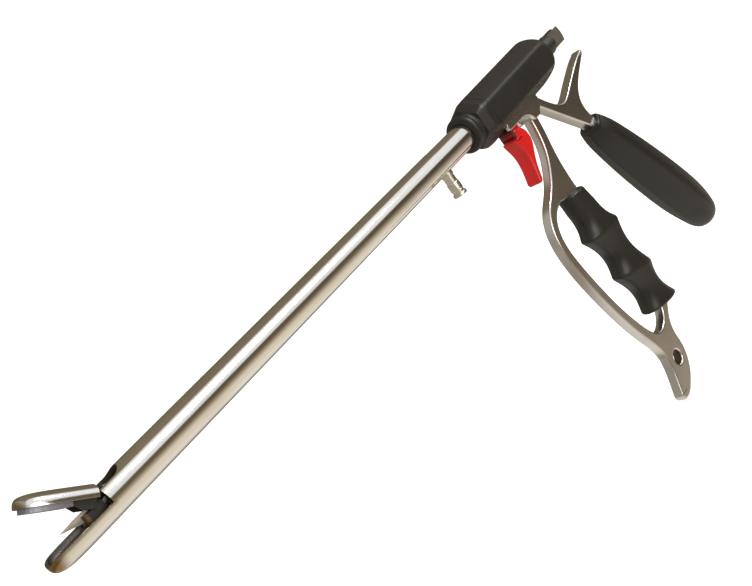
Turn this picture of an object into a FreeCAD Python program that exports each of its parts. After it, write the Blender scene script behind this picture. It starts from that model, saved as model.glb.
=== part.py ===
import FreeCAD, Part

import math
import os

from FreeCAD import Vector as V

# Vessel sealing instrument, 10 mm shaft. Millimetres.
# X runs along the shaft: the jaws point to -X, the cable connector to +X. The handles hang
# towards -Z. The origin is on the shaft's axis, at the front face of the front collar.
# The model stands as in the photograph: jaws open, handles spread, knife drawn back.

# Running gap between pieces that turn or slide in each other
RUN = 0.05

# Shaft
SHAFT_R = 5.0
SHAFT_WALL = 0.7
BORE_R = SHAFT_R - SHAFT_WALL
TUBE_BACK_X = 10.0
SEAT_R = SHAFT_R - 0.2
SPIGOT_LENGTH = 7.0

# Jaws, placed from their hinge
JAW_OPEN = 36.0
HINGE_X = -181.6
HINGE_Z = 2.5
TIP_X = HINGE_X - 22.7
SEAM_X = HINGE_X + 5.6
HINGE_PIN_R = 0.6
JAW_ARM = 3.4
RIM_Z = -0.35
RIM_GAP = 0.25
JAW_WALL = 0.85
JAW_BACK_X = HINGE_X - 4.1
CLEVIS_X = HINGE_X - 3.4
CLEVIS_RISE = 3.8
CLEVIS_LEAD = 0.9
CLEVIS_SLOT = 2.15
EAR_IN = 0.85
EAR_OUT = 1.95
KNIFE_SLOT = 0.4
ELECTRODE_T = 1.2
ELECTRODE_GAP = 0.15
LOWER_ELECTRODE_T = 0.55
CLEVIS_FLOOR_Z = -2.7
UPPER_TIP_X = TIP_X + 0.2
JAW_ROOT_X = CLEVIS_X + CLEVIS_LEAD

# Jaw form from the clevis to the tip: half width, depth below the rim, height above it, and the
# shares of the length at which its sections stand
JAW_HALF = 4.98
LOWER_DEPTH = 4.66
UPPER_HEIGHT = 3.5
JAW_STATIONS = (0.0, 0.2, 0.35, 0.5, 0.6, 0.7, 0.78, 0.85, 0.9, 0.94, 0.97, 0.99, 0.998)

# Guide block between the jaws
BLOCK_X = HINGE_X - 8.9
BLOCK_HALF = 2.3
BLOCK_TOP = 1.6
BLOCK_BOTTOM = -2.9
GUIDE_T = 0.9

# Dark cheeks of the upper jaw, which drop beside the guide block as the jaws close
CHEEK_IN_Y = 2.45
CHEEK_OUT_Y = 3.15
CHEEK_DROP = 2.5
CHEEK_PIN_X = HINGE_X - 5.7
CHEEK_PIN_Z = -1.6
CHEEK_PIN_R = 0.5

# Rods inside the shaft
PULL_R = 2.0
PULL_BORE_R = 1.25
PULL_FRONT_X = HINGE_X + 3.0
PULL_BACK_X = 50.0
TONGUE_HALF = 0.75
DRIVE_PIN_R = 0.55
KNIFE_T = 0.44
KNIFE_ROD_R = 1.15
STRIP_H = 1.05

# Front collar, turning knob and journal
COLLAR_R = 7.6
COLLAR_L = 2.6
NECK_R = 7.4
NECK_END_X = 4.8
KNOB_END_X = 12.1
KNOB_R = 10.3
JOURNAL_R = 5.5
FLANGE_R = 6.5
JOURNAL_END_X = 18.6
RING_X = 16.9
RING_T = 0.8

# Housing
HOUSING_R = 10.4
HOUSING_TILT = 1.5
HOUSING_BORE_R = 7.4
HOUSING_X = 12.3
FRONT_WALL = 3.4
CAP_X = 56.0
DOME_X = 57.5
DOME_L = 13.2
DOME_STOP = 64.0
CAP_SPIGOT = 3.0
SLOT_HALF = 4.4
SLOT_X0 = 19.4
SLOT_X1 = 48.6

# Connector
BOOT_R = 4.2
BOOT_END_X = 82.5
BLADE_HALF = 3.3
BLADE_T = 0.8
BLADE_IN = 0.9
CORE_STAND = 0.5
BLADE_END_X = 89.2

# Handle frame
FRAME_HALF = 2.2
CHEEK_IN = 2.65
NECK_TOP = -5.8
EYE_X = 29.4
EYE_Z = -128.0
EYE_R = 3.0

# Lever and its grip
LEVER_HALF = 2.5
LEVER_X = 43.8
LEVER_Z = -7.4
LEVER_SWING = 18.0
PIVOT_R = 1.5
SPOOL_R = PULL_R + 1.7
SPOOL_GROOVE_R = PULL_R + 0.5
PAD_R = 0.95
FLANGE_T = 1.4
TINE_T = 1.15

# Trigger
TRIGGER_HALF = 3.4
HUB_HALF = 2.45
TRIGGER_X = 25.0
TRIGGER_Z = -8.6
TRIGGER_SWING = 13.0
TRIGGER_PIN_R = 1.0
KNIFE_ARM = 10.0
KNIFE_SPOOL_R = PULL_R + 2.4
KNIFE_GROOVE_R = PULL_R + 1.2

# Grips
GRIP_RIDGES = (-46.5, -66.3, -89.0, -108.5)
GRIP_TOP = (33.6, -46.5)
GRIP_END = (42.6, -108.5)
GRIP_CREST = 11.9
GRIP_END_CREST = 11.2
GRIP_VALLEY = 7.5
GRIP_TOP_A = 6.5
GRIP_TOP_B = 5.4
GRIP_LEANS = (6.0, 5.0, 15.0, 8.0)
GRIP_Y_CREST = 6.5
GRIP_Y_VALLEY = 5.9
TANG_HALF = 3.2
PALM_TOP = (71.6, -34.5)
PALM_END = (110.8, -108.9)
PALM_DEEP = 8.6
PALM_WIDE = 8.2

# Flush port
PORT_X = -19.0
PORT_END_Z = -14.0
PORT_R = 2.1
PORT_BORE_R = 1.3
PORT_FLANGE_R = 3.0
SEAT_X = PORT_X - PORT_R - 0.5

# Springs
WIRE_R = 0.3

# Travels worked out from the sizes above
ROD_TRAVEL = 2 * JAW_ARM * math.tan(math.radians(JAW_OPEN / 2))
LEVER_ARM = ROD_TRAVEL / (2 * math.sin(math.radians(LEVER_SWING / 2)))
KNIFE_TRAVEL = 2 * KNIFE_ARM * math.sin(math.radians(TRIGGER_SWING / 2))
SPOOL_X = LEVER_X - ROD_TRAVEL / 2
KNIFE_SPOOL_X = TRIGGER_X + KNIFE_TRAVEL / 2
DRIVE_X = HINGE_X - ROD_TRAVEL / 2
HOUSING_END_X = DOME_X + DOME_L * math.sin(math.radians(DOME_STOP))
BLADE_X = HOUSING_END_X + 0.8
DRIVE_Z = HINGE_Z - JAW_ARM
KNIFE_ROD_X = PULL_FRONT_X + ROD_TRAVEL + KNIFE_TRAVEL + 0.2
UPPER_RIM_Z = RIM_Z + RIM_GAP
UPPER_FACE_Z = UPPER_RIM_Z - ELECTRODE_T
LOWER_FACE_Z = UPPER_FACE_Z - ELECTRODE_GAP
X_AXIS = V(1, 0, 0)
Y_AXIS = V(0, 1, 0)


def box(x0, x1, y0, y1, z0, z1):
    return Part.makeBox(x1 - x0, y1 - y0, z1 - z0, V(x0, y0, z0))


def rod_x(r, x0, x1, y=0.0, z=0.0):
    return Part.makeCylinder(r, x1 - x0, V(x0, y, z), X_AXIS)


def rod_y(r, x, z, y0, y1):
    return Part.makeCylinder(r, y1 - y0, V(x, y0, z), Y_AXIS)


def tube_x(r_out, r_in, x0, x1):
    return rod_x(r_out, x0, x1).cut(rod_x(r_in, x0 - 1, x1 + 1))


def slab(edges, y0, y1):
    """Prism of a closed outline drawn in the XZ plane, between two depths."""
    face = Part.Face(Part.Wire(edges))
    face.translate(V(0, y0, 0))
    return face.extrude(V(0, y1 - y0, 0))


def poly(points, y0, y1):
    """Prism of a polygon of (x, z) corners."""
    loop = [V(x, 0, z) for x, z in points]
    return slab(Part.makePolygon(loop + loop[:1]).Edges, y0, y1)


def curve(points):
    """One smooth edge through (x, z) points."""
    spline = Part.BSplineCurve()
    spline.interpolate([V(x, 0, z) for x, z in points])
    return spline.toShape()


def line(a, b):
    return Part.makeLine(V(a[0], 0, a[1]), V(b[0], 0, b[1]))


def outline(*runs):
    """Closed outline from runs of points: a run of two is a straight edge, a longer one a curve."""
    edges = []
    for i, run in enumerate(runs):
        edges.append(curve(run) if len(run) > 2 else line(*run))
        following = runs[(i + 1) % len(runs)]
        if V(*run[-1], 0).distanceToPoint(V(*following[0], 0)) > 1e-6:
            edges.append(line(run[-1], following[0]))
    return edges


def revolve_x(points):
    """Solid of revolution about the shaft's axis from a smooth (x, radius) line, closed to the axis."""
    first, last = points[0], points[-1]
    edges = [curve(points)]
    if last[1] > 0:
        edges.append(line(last, (last[0], 0)))
    if first[1] > 0:
        edges.append(line((first[0], 0), first))
    edges.append(line((last[0], 0), (first[0], 0)))
    return Part.Face(Part.Wire(Part.sortEdges(edges)[0])).revolve(V(0, 0, 0), X_AXIS, 360)


def hexagon(r, x):
    """Hexagonal wire across the shaft, with corners at the top and bottom and flats to the sides."""
    corners = [V(x, r * math.sin(math.radians(a)), r * math.cos(math.radians(a)))
               for a in range(0, 360, 60)]
    return Part.makePolygon(corners + corners[:1])


def fuse(first, *others):
    return first.multiFuse(list(others)).removeSplitter()


def solid(shape):
    """The single solid of a boolean result, with its placement cleaned."""
    return shape.Solids[0] if len(shape.Solids) == 1 else Part.makeCompound(shape.Solids)


def half_round(x, half, height, rim, side):
    """D-shaped wire across a jaw: a straight rim and a round back, above (1) or below (-1) it."""
    left, right = V(x, -half, rim), V(x, half, rim)
    back = Part.Arc(left, V(x, 0, rim + side * height), right).toShape()
    return Part.Wire([back, Part.makeLine(right, left)])


def jaw_fullness(along):
    """Share of the full half width that is left at a share of the jaw's length: (1 - s^6)^0.5."""
    return math.sqrt(1 - along ** 6)


def jaw_form(height, tip, rim, side, inset):
    """Round-nosed jaw lofted through D-shaped sections, drawn in all over by an inset."""
    rings = []
    for along in JAW_STATIONS:
        x = between(JAW_ROOT_X, tip + inset, along)
        full = jaw_fullness(along)
        rise = full if side < 0 else full ** 0.8
        rings.append(half_round(x, (JAW_HALF - inset) * full, (height - inset) * rise, rim, side))
    return Part.makeLoft(rings, True, True)


def lower_form(inset):
    return jaw_form(LOWER_DEPTH, TIP_X, RIM_Z, -1, inset)


def upper_form(inset, back):
    form = jaw_form(UPPER_HEIGHT, UPPER_TIP_X, UPPER_RIM_Z, 1, inset)
    return form.common(box(TIP_X - 1, back, -6, 6, UPPER_RIM_Z, 6))


def knife_groove():
    """Groove inside the upper jaw for the blade, under a thin skin at the crown."""
    back, middle, front = JAW_BACK_X + 1, BLOCK_X - 4.0, TIP_X + 3.6
    return poly([(back, -3), (back, 2.75), (middle, 2.7), (front, 2.4), (front, -3)], -KNIFE_SLOT, KNIFE_SLOT)


def plan(inset, tip, x1, z0, z1):
    """Plate with the jaw's plan outline, drawn in by an inset, between two heights."""
    side = []
    for along in JAW_STATIONS:
        x = between(JAW_ROOT_X, tip + inset, along)
        side.append((x, (JAW_HALF - inset) * jaw_fullness(along)))
    loop = [V(x, y, z0) for x, y in side] + [V(x, -y, z0) for x, y in reversed(side)]
    plate = Part.Face(Part.makePolygon(loop + loop[:1])).extrude(V(0, 0, z1 - z0))
    return plate.common(box(TIP_X, x1, -6, 6, z0 - 1, z1 + 1))


def opened(shape):
    """Turns a piece drawn with the jaws closed to the open position."""
    shape.rotate(V(HINGE_X, 0, HINGE_Z), Y_AXIS, JAW_OPEN)
    return shape


def shaft_tube():
    tube = tube_x(SHAFT_R, BORE_R, SEAM_X, TUBE_BACK_X)
    tube = tube.cut(tube_x(SHAFT_R + 1, SEAT_R, SEAT_X, TUBE_BACK_X + 1))
    drain = Part.makeCylinder(0.9, 6, V(PORT_X, 0, 0), V(0, 0, -1))
    return tube.cut(drain)


def lower_jaw():
    """Jaw body: spoon-shaped lower jaw, clevis for the upper jaw and spigot into the tube."""
    spoon = lower_form(0).cut(lower_form(JAW_WALL))
    clevis = rod_x(SHAFT_R, JAW_ROOT_X, SEAM_X)
    lead = Part.makeCone(SHAFT_R - 0.2, JAW_HALF, CLEVIS_LEAD, V(CLEVIS_X, 0, 0), X_AXIS)
    lead = lead.common(box(CLEVIS_X, JAW_ROOT_X, -6, 6, RIM_Z - 0.3, 6))
    slope = math.tan(math.radians(JAW_OPEN))
    cut = [(CLEVIS_X - 2, RIM_Z), (CLEVIS_X, RIM_Z), (CLEVIS_X, CLEVIS_RISE),
           (CLEVIS_X + (6.0 - CLEVIS_RISE) * slope, 6.0), (CLEVIS_X - 2, 6.0)]
    clevis = clevis.fuse(lead).cut(poly(cut, -6, 6))
    slot_end = SEAM_X - 1.2 - CLEVIS_SLOT
    clevis = clevis.cut(box(CLEVIS_X - 2, slot_end, -CLEVIS_SLOT, CLEVIS_SLOT, CLEVIS_FLOOR_Z, 6))
    clevis = clevis.cut(Part.makeCylinder(CLEVIS_SLOT, 9, V(slot_end, 0, CLEVIS_FLOOR_Z)))
    spigot = rod_x(BORE_R, SEAM_X, SEAM_X + SPIGOT_LENGTH)
    body = fuse(spoon, clevis, spigot)
    body = body.cut(rod_x(PULL_R + RUN, slot_end, SEAM_X + SPIGOT_LENGTH + 1))
    return body.cut(rod_y(HINGE_PIN_R, HINGE_X, HINGE_Z, -6, 6))


def hinge_pin():
    return rod_y(HINGE_PIN_R, HINGE_X, HINGE_Z, -4.6, 4.6).common(rod_x(SHAFT_R, HINGE_X - 2, HINGE_X + 2))


def lower_insulator():
    bed = lower_form(JAW_WALL + 0.03)
    bed = bed.common(box(TIP_X, BLOCK_X - GUIDE_T - 0.1, -6, 6, -6, LOWER_FACE_Z - LOWER_ELECTRODE_T))
    return bed.cut(box(TIP_X + 3.5, BLOCK_X, -KNIFE_SLOT, KNIFE_SLOT, -2.9, 0))


def lower_electrode():
    plate = plan(1.75, TIP_X, BLOCK_X - GUIDE_T - 0.1, LOWER_FACE_Z - LOWER_ELECTRODE_T, LOWER_FACE_Z)
    return plate.cut(box(TIP_X + 3.5, BLOCK_X, -KNIFE_SLOT, KNIFE_SLOT, -6, 0))


def guide_block():
    block = box(BLOCK_X, JAW_BACK_X, -BLOCK_HALF, BLOCK_HALF, BLOCK_BOTTOM, BLOCK_TOP)
    return block.cut(box(BLOCK_X - 1, JAW_BACK_X + 1, -KNIFE_SLOT, KNIFE_SLOT, -2.45, 6))


def cheek_pins():
    """Two short pins with their heads standing a little out of the upper jaw's dark cheeks."""
    pins = [rod_y(CHEEK_PIN_R, CHEEK_PIN_X, CHEEK_PIN_Z, -CHEEK_OUT_Y - 0.1, -CHEEK_IN_Y),
            rod_y(CHEEK_PIN_R, CHEEK_PIN_X, CHEEK_PIN_Z, CHEEK_IN_Y, CHEEK_OUT_Y + 0.1)]
    return opened(Part.makeCompound(pins))


def knife_guide():
    x1 = BLOCK_X
    plate = box(x1 - GUIDE_T, x1, -BLOCK_HALF, BLOCK_HALF, BLOCK_BOTTOM, BLOCK_TOP + 0.1)
    return plate.cut(box(x1 - 2, x1 + 1, -KNIFE_SLOT, KNIFE_SLOT, -2.45, 6))


def upper_jaw():
    """Half-round upper jaw, with two ears that carry its hinge and its drive slots."""
    shell = upper_form(0.1, JAW_BACK_X).cut(upper_form(0.1 + JAW_WALL, JAW_BACK_X))
    shell = shell.cut(knife_groove())
    ears = []
    turn = math.radians(JAW_OPEN / 2)
    reach = JAW_ARM / math.cos(turn)
    foot = V(HINGE_X + reach * math.sin(turn), 0, HINGE_Z - reach * math.cos(turn))
    for side in (-1, 1):
        y0, y1 = sorted((side * EAR_IN, side * EAR_OUT))
        bar = poly([(BLOCK_X + 0.5, 1.75), (JAW_BACK_X, 1.75), (JAW_BACK_X + 0.6, 1.2), (HINGE_X, 1.2),
                    (HINGE_X, 2.9), (HINGE_X - 1.6, 2.9), (HINGE_X - 2.8, 2.5), (BLOCK_X + 0.5, 2.5)], y0, y1)
        knuckle = rod_y(1.25, HINGE_X, HINGE_Z, y0, y1)
        toe = rod_y(1.15, foot.x, foot.z, y0, y1)
        along = (foot - V(HINGE_X, 0, HINGE_Z)).normalize()
        across = V(along.z, 0, -along.x) * 1.12
        hinge = V(HINGE_X, 0, HINGE_Z)
        corners = [hinge + across, foot + across, foot - across, hinge - across]
        arm = poly([(p.x, p.z) for p in corners], y0, y1)
        ears += [bar, knuckle, toe, arm]
    body = fuse(shell, *ears)
    body = body.cut(rod_y(HINGE_PIN_R + RUN, HINGE_X, HINGE_Z, -6, 6))
    slot_r = DRIVE_PIN_R + RUN
    near = hinge + along * (JAW_ARM - 0.06)
    far = hinge + along * (reach + 0.06)
    side_way = V(along.z, 0, -along.x) * slot_r
    slot = [near + side_way, far + side_way, far - side_way, near - side_way]
    body = body.cut(poly([(p.x, p.z) for p in slot], -6, 6))
    body = body.cut(rod_y(slot_r, near.x, near.z, -6, 6)).cut(rod_y(slot_r, far.x, far.z, -6, 6))
    return opened(body)


def upper_insulator():
    """Dark lining of the upper jaw, with two cheeks at its root beside the guide block."""
    front = BLOCK_X - GUIDE_T - 0.35
    fill = upper_form(0.13 + JAW_WALL, front)
    cheeks = []
    for side in (-1, 1):
        y0, y1 = sorted((side * CHEEK_IN_Y, side * CHEEK_OUT_Y))
        cheeks.append(poly([(front - 0.3, UPPER_RIM_Z - 0.4), (front - 0.3, 0.9), (JAW_BACK_X - 0.3, 0.9),
                            (JAW_BACK_X - 0.3, -CHEEK_DROP), (BLOCK_X + 1.2, -CHEEK_DROP)], y0, y1))
    body = fuse(fill, *cheeks)
    body = body.cut(knife_groove())
    return opened(body.cut(rod_y(CHEEK_PIN_R, CHEEK_PIN_X, CHEEK_PIN_Z, -6, 6)))


def upper_electrode():
    plate = plan(1.45, UPPER_TIP_X - 0.5, BLOCK_X - GUIDE_T - 0.35, UPPER_FACE_Z, UPPER_RIM_Z)
    for side in (-1, 1):
        y0, y1 = sorted((side * (CHEEK_IN_Y - 0.05), side * (CHEEK_OUT_Y + 0.05)))
        plate = plate.cut(box(BLOCK_X - GUIDE_T - 0.7, BLOCK_X, y0, y1, -3, 1))
    return opened(plate.cut(knife_groove()))


def pull_tube():
    tube = tube_x(PULL_R, PULL_BORE_R, PULL_FRONT_X, PULL_BACK_X)
    x0 = KNIFE_SPOOL_X - KNIFE_TRAVEL - ROD_TRAVEL - 0.9
    x1 = KNIFE_SPOOL_X + 0.9
    tube = tube.cut(box(x0, x1, -0.7, 0.7, -3, 3))
    return tube


def drive_tongue():
    tongue = box(DRIVE_X - 0.1, PULL_FRONT_X, -TONGUE_HALF, TONGUE_HALF, -1.9, -0.06)
    head = rod_y(0.95, DRIVE_X, DRIVE_Z, -TONGUE_HALF, TONGUE_HALF)
    tongue = fuse(tongue, head).common(box(DRIVE_X - 3, PULL_FRONT_X, -1, 1, -1.9, -0.06))
    return tongue.cut(rod_y(DRIVE_PIN_R, DRIVE_X, DRIVE_Z, -3, 3))


def drive_pin():
    return rod_y(DRIVE_PIN_R, DRIVE_X, DRIVE_Z, -EAR_OUT, EAR_OUT)


def jaw_spool():
    """Grooved spool on the back of the pull tube, which the lever's fork moves."""
    half = PAD_R + RUN
    spool = rod_x(SPOOL_R, SPOOL_X - half - FLANGE_T, SPOOL_X + half + FLANGE_T)
    spool = spool.cut(tube_x(SPOOL_R + 1, SPOOL_GROOVE_R, SPOOL_X - half, SPOOL_X + half))
    spool = spool.cut(rod_x(PULL_R, SPOOL_X - 9, SPOOL_X + 9))
    return spool.cut(rod_y(0.5, SPOOL_X, 0, -6, 6))


def jaw_spool_pin():
    """Dowel halves that lock the spool on the tube, clear of the knife rod."""
    return Part.makeCompound([rod_y(0.5, SPOOL_X, 0, -SPOOL_GROOVE_R, -PULL_R),
                              rod_y(0.5, SPOOL_X, 0, PULL_R, SPOOL_GROOVE_R)])


def knife_blade():
    """Thin blade with a raked cutting edge, on a strip that slides over the drive tongue."""
    t = KNIFE_T / 2
    root = KNIFE_ROD_X + 1.0
    form = [(-7.2, 2.25), (-2.0, 0.0), (0.9, -2.3), (1.9, -2.3), (2.9, 0.0), (root - BLOCK_X, 0.0),
            (root - BLOCK_X, STRIP_H), (2.1, STRIP_H), (0.9, 2.4), (-2.5, 2.45)]
    return poly([(BLOCK_X + x, z) for x, z in form], -t, t)


def knife_rod():
    back = KNIFE_SPOOL_X + 4.0
    rod = rod_x(KNIFE_ROD_R, KNIFE_ROD_X, back)
    rod = rod.cut(box(KNIFE_ROD_X - 1, KNIFE_ROD_X + 1, -KNIFE_T / 2, KNIFE_T / 2, 0, STRIP_H))
    return rod.cut(Part.makeCylinder(0.5, 6, V(KNIFE_SPOOL_X, 0, -3)))


def knife_spool():
    half = PAD_R + RUN
    spool = rod_x(KNIFE_SPOOL_R, KNIFE_SPOOL_X - half - 1.2, KNIFE_SPOOL_X + half + 1.2)
    spool = spool.cut(tube_x(KNIFE_SPOOL_R + 1, KNIFE_GROOVE_R, KNIFE_SPOOL_X - half, KNIFE_SPOOL_X + half))
    spool = spool.cut(rod_x(PULL_R + RUN, KNIFE_SPOOL_X - 9, KNIFE_SPOOL_X + 9))
    return spool.cut(Part.makeCylinder(0.5, 12, V(KNIFE_SPOOL_X, 0, -6)))


def knife_cross_pin():
    return Part.makeCylinder(0.5, 2 * KNIFE_GROOVE_R - 0.1, V(KNIFE_SPOOL_X, 0, 0.05 - KNIFE_GROOVE_R))


def collar():
    ring = tube_x(COLLAR_R, SEAT_R, 0, COLLAR_L)
    rim = [e for e in ring.Edges if abs(e.BoundBox.XLength) < 1e-6 and e.BoundBox.YLength > 2 * COLLAR_R - 0.1]
    return ring.makeFillet(0.9, rim)


def turning_knob():
    """Faceted knob that turns the shaft: round neck, then six bevelled flats."""
    neck = rod_x(NECK_R, COLLAR_L, NECK_END_X + 1)
    small = NECK_R / math.cos(math.radians(30))
    bevel = Part.makeLoft([hexagon(small, NECK_END_X), hexagon(KNOB_R, KNOB_END_X)], True, True)
    round_off = revolve_x([(NECK_END_X - 1, NECK_R + 0.45), (NECK_END_X + 3.5, 9.3),
                           (KNOB_END_X + 0.1, KNOB_R - 0.25)])
    knob = fuse(neck, bevel.common(round_off))
    knob = knob.cut(rod_x(SEAT_R, -1, TUBE_BACK_X))
    return knob.cut(rod_x(FLANGE_R, TUBE_BACK_X, KNOB_END_X + 1))


def journal():
    """Steel sleeve on the shaft's back end, which turns in the housing's front wall."""
    body = fuse(rod_x(FLANGE_R, TUBE_BACK_X, KNOB_END_X), rod_x(JOURNAL_R, KNOB_END_X, JOURNAL_END_X))
    body = body.cut(rod_x(PULL_R + RUN, TUBE_BACK_X - 1, JOURNAL_END_X + 1))
    return body.cut(tube_x(JOURNAL_R + 1, JOURNAL_R - 0.6, RING_X, RING_X + RING_T))


def retaining_ring():
    ring = tube_x(JOURNAL_R + 0.9, JOURNAL_R - 0.6, RING_X, RING_X + RING_T)
    return ring.cut(box(RING_X - 1, RING_X + 2, -1.4, 1.4, 0, 9))


def front_bush():
    bush = tube_x(FLANGE_R, JOURNAL_R + RUN, HOUSING_X, HOUSING_X + FRONT_WALL)
    return bush


def rod_guides():
    """Plastic rings that keep the pull tube in the middle of the shaft."""
    places = (SEAM_X + 26.0, SEAM_X + 76.0, SEAM_X + 126.0)
    return Part.makeCompound([tube_x(BORE_R, PULL_R + RUN, x, x + 4) for x in places])


def shaft_seal():
    return tube_x(BORE_R, PULL_R + RUN, TUBE_BACK_X - 6, TUBE_BACK_X - 2)


def flush_port():
    """Rinsing stub under the shaft, with a flanged end and two locking lugs."""
    down = V(0, 0, -1)
    top = V(PORT_X, 0, -SHAFT_R + 0.9)
    foot = Part.makeCylinder(PORT_R + 0.3, 1.8, top, down)
    stem = Part.makeCylinder(PORT_R, -PORT_END_Z - SHAFT_R + 0.9, top, down)
    waist = Part.makeCylinder(PORT_R + 0.25, 3.4, V(PORT_X, 0, PORT_END_Z + 5.2), down)
    flange = Part.makeCylinder(PORT_FLANGE_R - 0.35, 1.0, V(PORT_X, 0, PORT_END_Z + 1.0), down)
    lugs = box(PORT_X - 1.1, PORT_X + 1.1, -PORT_FLANGE_R, PORT_FLANGE_R, PORT_END_Z, PORT_END_Z + 1.0)
    lugs = lugs.common(Part.makeCylinder(PORT_FLANGE_R, 2, V(PORT_X, 0, PORT_END_Z - 0.5)))
    body = fuse(foot, stem, waist, flange, lugs)
    body = body.cut(rod_x(SEAT_R, PORT_X - 6, PORT_X + 6))
    body = body.cut(Part.makeCylinder(PORT_BORE_R, 6.0, V(PORT_X, 0, PORT_END_Z), V(0, 0, 1)))
    return body.cut(Part.makeCylinder(0.9, 12.0, V(PORT_X, 0, PORT_END_Z), V(0, 0, 1)))


def tilted(shape):
    shape.rotate(V(HOUSING_X, 0, 0), Y_AXIS, -HOUSING_TILT)
    return shape


def housing_form():
    """Outer form of the body: a hexagonal bar inside a turned envelope with a domed back."""
    prism = Part.Face(hexagon(HOUSING_R, HOUSING_X - 2)).extrude(V(HOUSING_END_X - HOUSING_X + 2, 0, 0))
    dome = []
    for step in range(7):
        t = math.radians(step * DOME_STOP / 6)
        dome.append((DOME_X + DOME_L * math.sin(t), (HOUSING_R + 0.05) * math.cos(t)))
    shell = revolve_x(dome)
    barrel = rod_x(HOUSING_R + 0.05, HOUSING_X - 2, DOME_X)
    barrel = barrel.fuse(shell)
    return prism.common(barrel)


def housing():
    body = tilted(housing_form())
    body = body.common(box(HOUSING_X, CAP_X, -20, 20, -20, 20))
    body = body.cut(rod_x(HOUSING_BORE_R, HOUSING_X + FRONT_WALL, CAP_X + 1))
    body = body.cut(rod_x(FLANGE_R, HOUSING_X - 1, HOUSING_X + FRONT_WALL + 1))
    return body.cut(box(SLOT_X0, SLOT_X1, -SLOT_HALF, SLOT_HALF, -15, -4))


def rear_cap():
    body = tilted(housing_form()).common(box(CAP_X, HOUSING_END_X + 5, -20, 20, -20, 20))
    body = body.fuse(rod_x(HOUSING_BORE_R - 0.02, CAP_X - CAP_SPIGOT, CAP_X))
    body = body.cut(rod_x(HOUSING_BORE_R - 1.6, CAP_X - CAP_SPIGOT - 1, DOME_X + 4))
    core = tilted(rod_x(BOOT_R - 0.8, DOME_X, HOUSING_END_X + 5))
    return body.cut(core).removeSplitter()


def connector_boot():
    """Stub behind the dome that carries the contact blades."""
    stub = fuse(rod_x(BOOT_R - 0.8, DOME_X + 4.2, HOUSING_END_X), rod_x(BOOT_R, HOUSING_END_X, BOOT_END_X))
    rim = [e for e in stub.Edges if abs(e.CenterOfMass.x - BOOT_END_X) < 0.01]
    stub = stub.makeFillet(0.8, rim)
    y1 = BLADE_IN + BLADE_T
    stub = stub.cut(box(BLADE_X, BOOT_END_X + 1, -y1, y1, -BLADE_HALF, BLADE_HALF))
    stub = stub.cut(box(BLADE_X, BOOT_END_X + 1, -BLADE_IN, BLADE_IN, 0, BLADE_HALF + CORE_STAND))
    return tilted(stub)


def contact_core():
    y = BLADE_IN
    return tilted(box(BLADE_X, BLADE_END_X - 3.4, -y, y, 0.3 - BLADE_HALF, BLADE_HALF + CORE_STAND))


def contact_blades():
    """Two flat contacts with rounded ends, one on each side of the insulating core."""
    blades = []
    for side in (-1, 1):
        y0, y1 = sorted((side * BLADE_IN, side * (BLADE_IN + BLADE_T)))
        blade = box(BLADE_X, BLADE_END_X - 1.2, y0, y1, -BLADE_HALF, BLADE_HALF)
        end = rod_y(9.0, BLADE_END_X - 9.0, 0, y0, y1)
        blade = blade.fuse(end.common(box(BLADE_END_X - 1.2, BLADE_END_X, y0, y1, -BLADE_HALF, BLADE_HALF)))
        blades.append(tilted(blade.removeSplitter()))
    return Part.makeCompound(blades)


def frame_outline():
    front = [(36.6, -9.0), (36.9, -13.0), (36.3, -18.7), (33.8, -26.4), (29.4, -32.5), (22.6, -38.5),
             (14.2, -43.6), (9.4, -49.6), (7.2, -58.3), (7.5, -69.0), (9.7, -81.5), (13.2, -95.0),
             (17.4, -107.0), (21.6, -116.6), (23.0, -122.5), (22.0, -128.5), (19.8, -134.0), (17.5, -139.0)]
    toe = [(17.5, -139.0), (18.2, -141.2), (21.0, -142.0), (25.0, -141.2)]
    back = [(25.0, -141.2), (31.0, -137.6), (35.6, -132.0), (37.4, -126.0), (37.6, -120.6), (39.4, -116.0),
            (43.4, -112.0), (47.0, -108.5)]
    side = [(47.0, -108.5), (GRIP_END[0] + TANG_HALF, -108.5)]
    tang = [(GRIP_END[0] + TANG_HALF, -108.5), (GRIP_TOP[0] + TANG_HALF, -46.5)]
    arm = [(37.4, -46.5), (37.7, -36.3), (39.2, -27.4), (41.2, -18.7), (41.9, -9.0)]
    return outline(front, toe, back, side, tang, arm, [(41.9, -9.0), (36.6, -9.0)])


def loop_outline():
    strap = [(23.5, -45.4), (20.0, -45.9), (15.8, -48.2), (12.8, -52.2), (11.3, -58.6), (11.9, -68.4),
             (14.0, -80.4), (17.3, -93.5), (21.0, -103.6), (24.2, -110.0), (27.2, -113.3), (31.0, -114.4),
             (35.0, -113.4), (38.0, -111.0), (GRIP_END[0] - TANG_HALF, -108.5)]
    tang = [(GRIP_END[0] - TANG_HALF, -108.5), (GRIP_TOP[0] - TANG_HALF, -46.5)]
    return outline(strap, tang, [(GRIP_TOP[0] - TANG_HALF, -46.5), (26.5, -46.2)])


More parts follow.
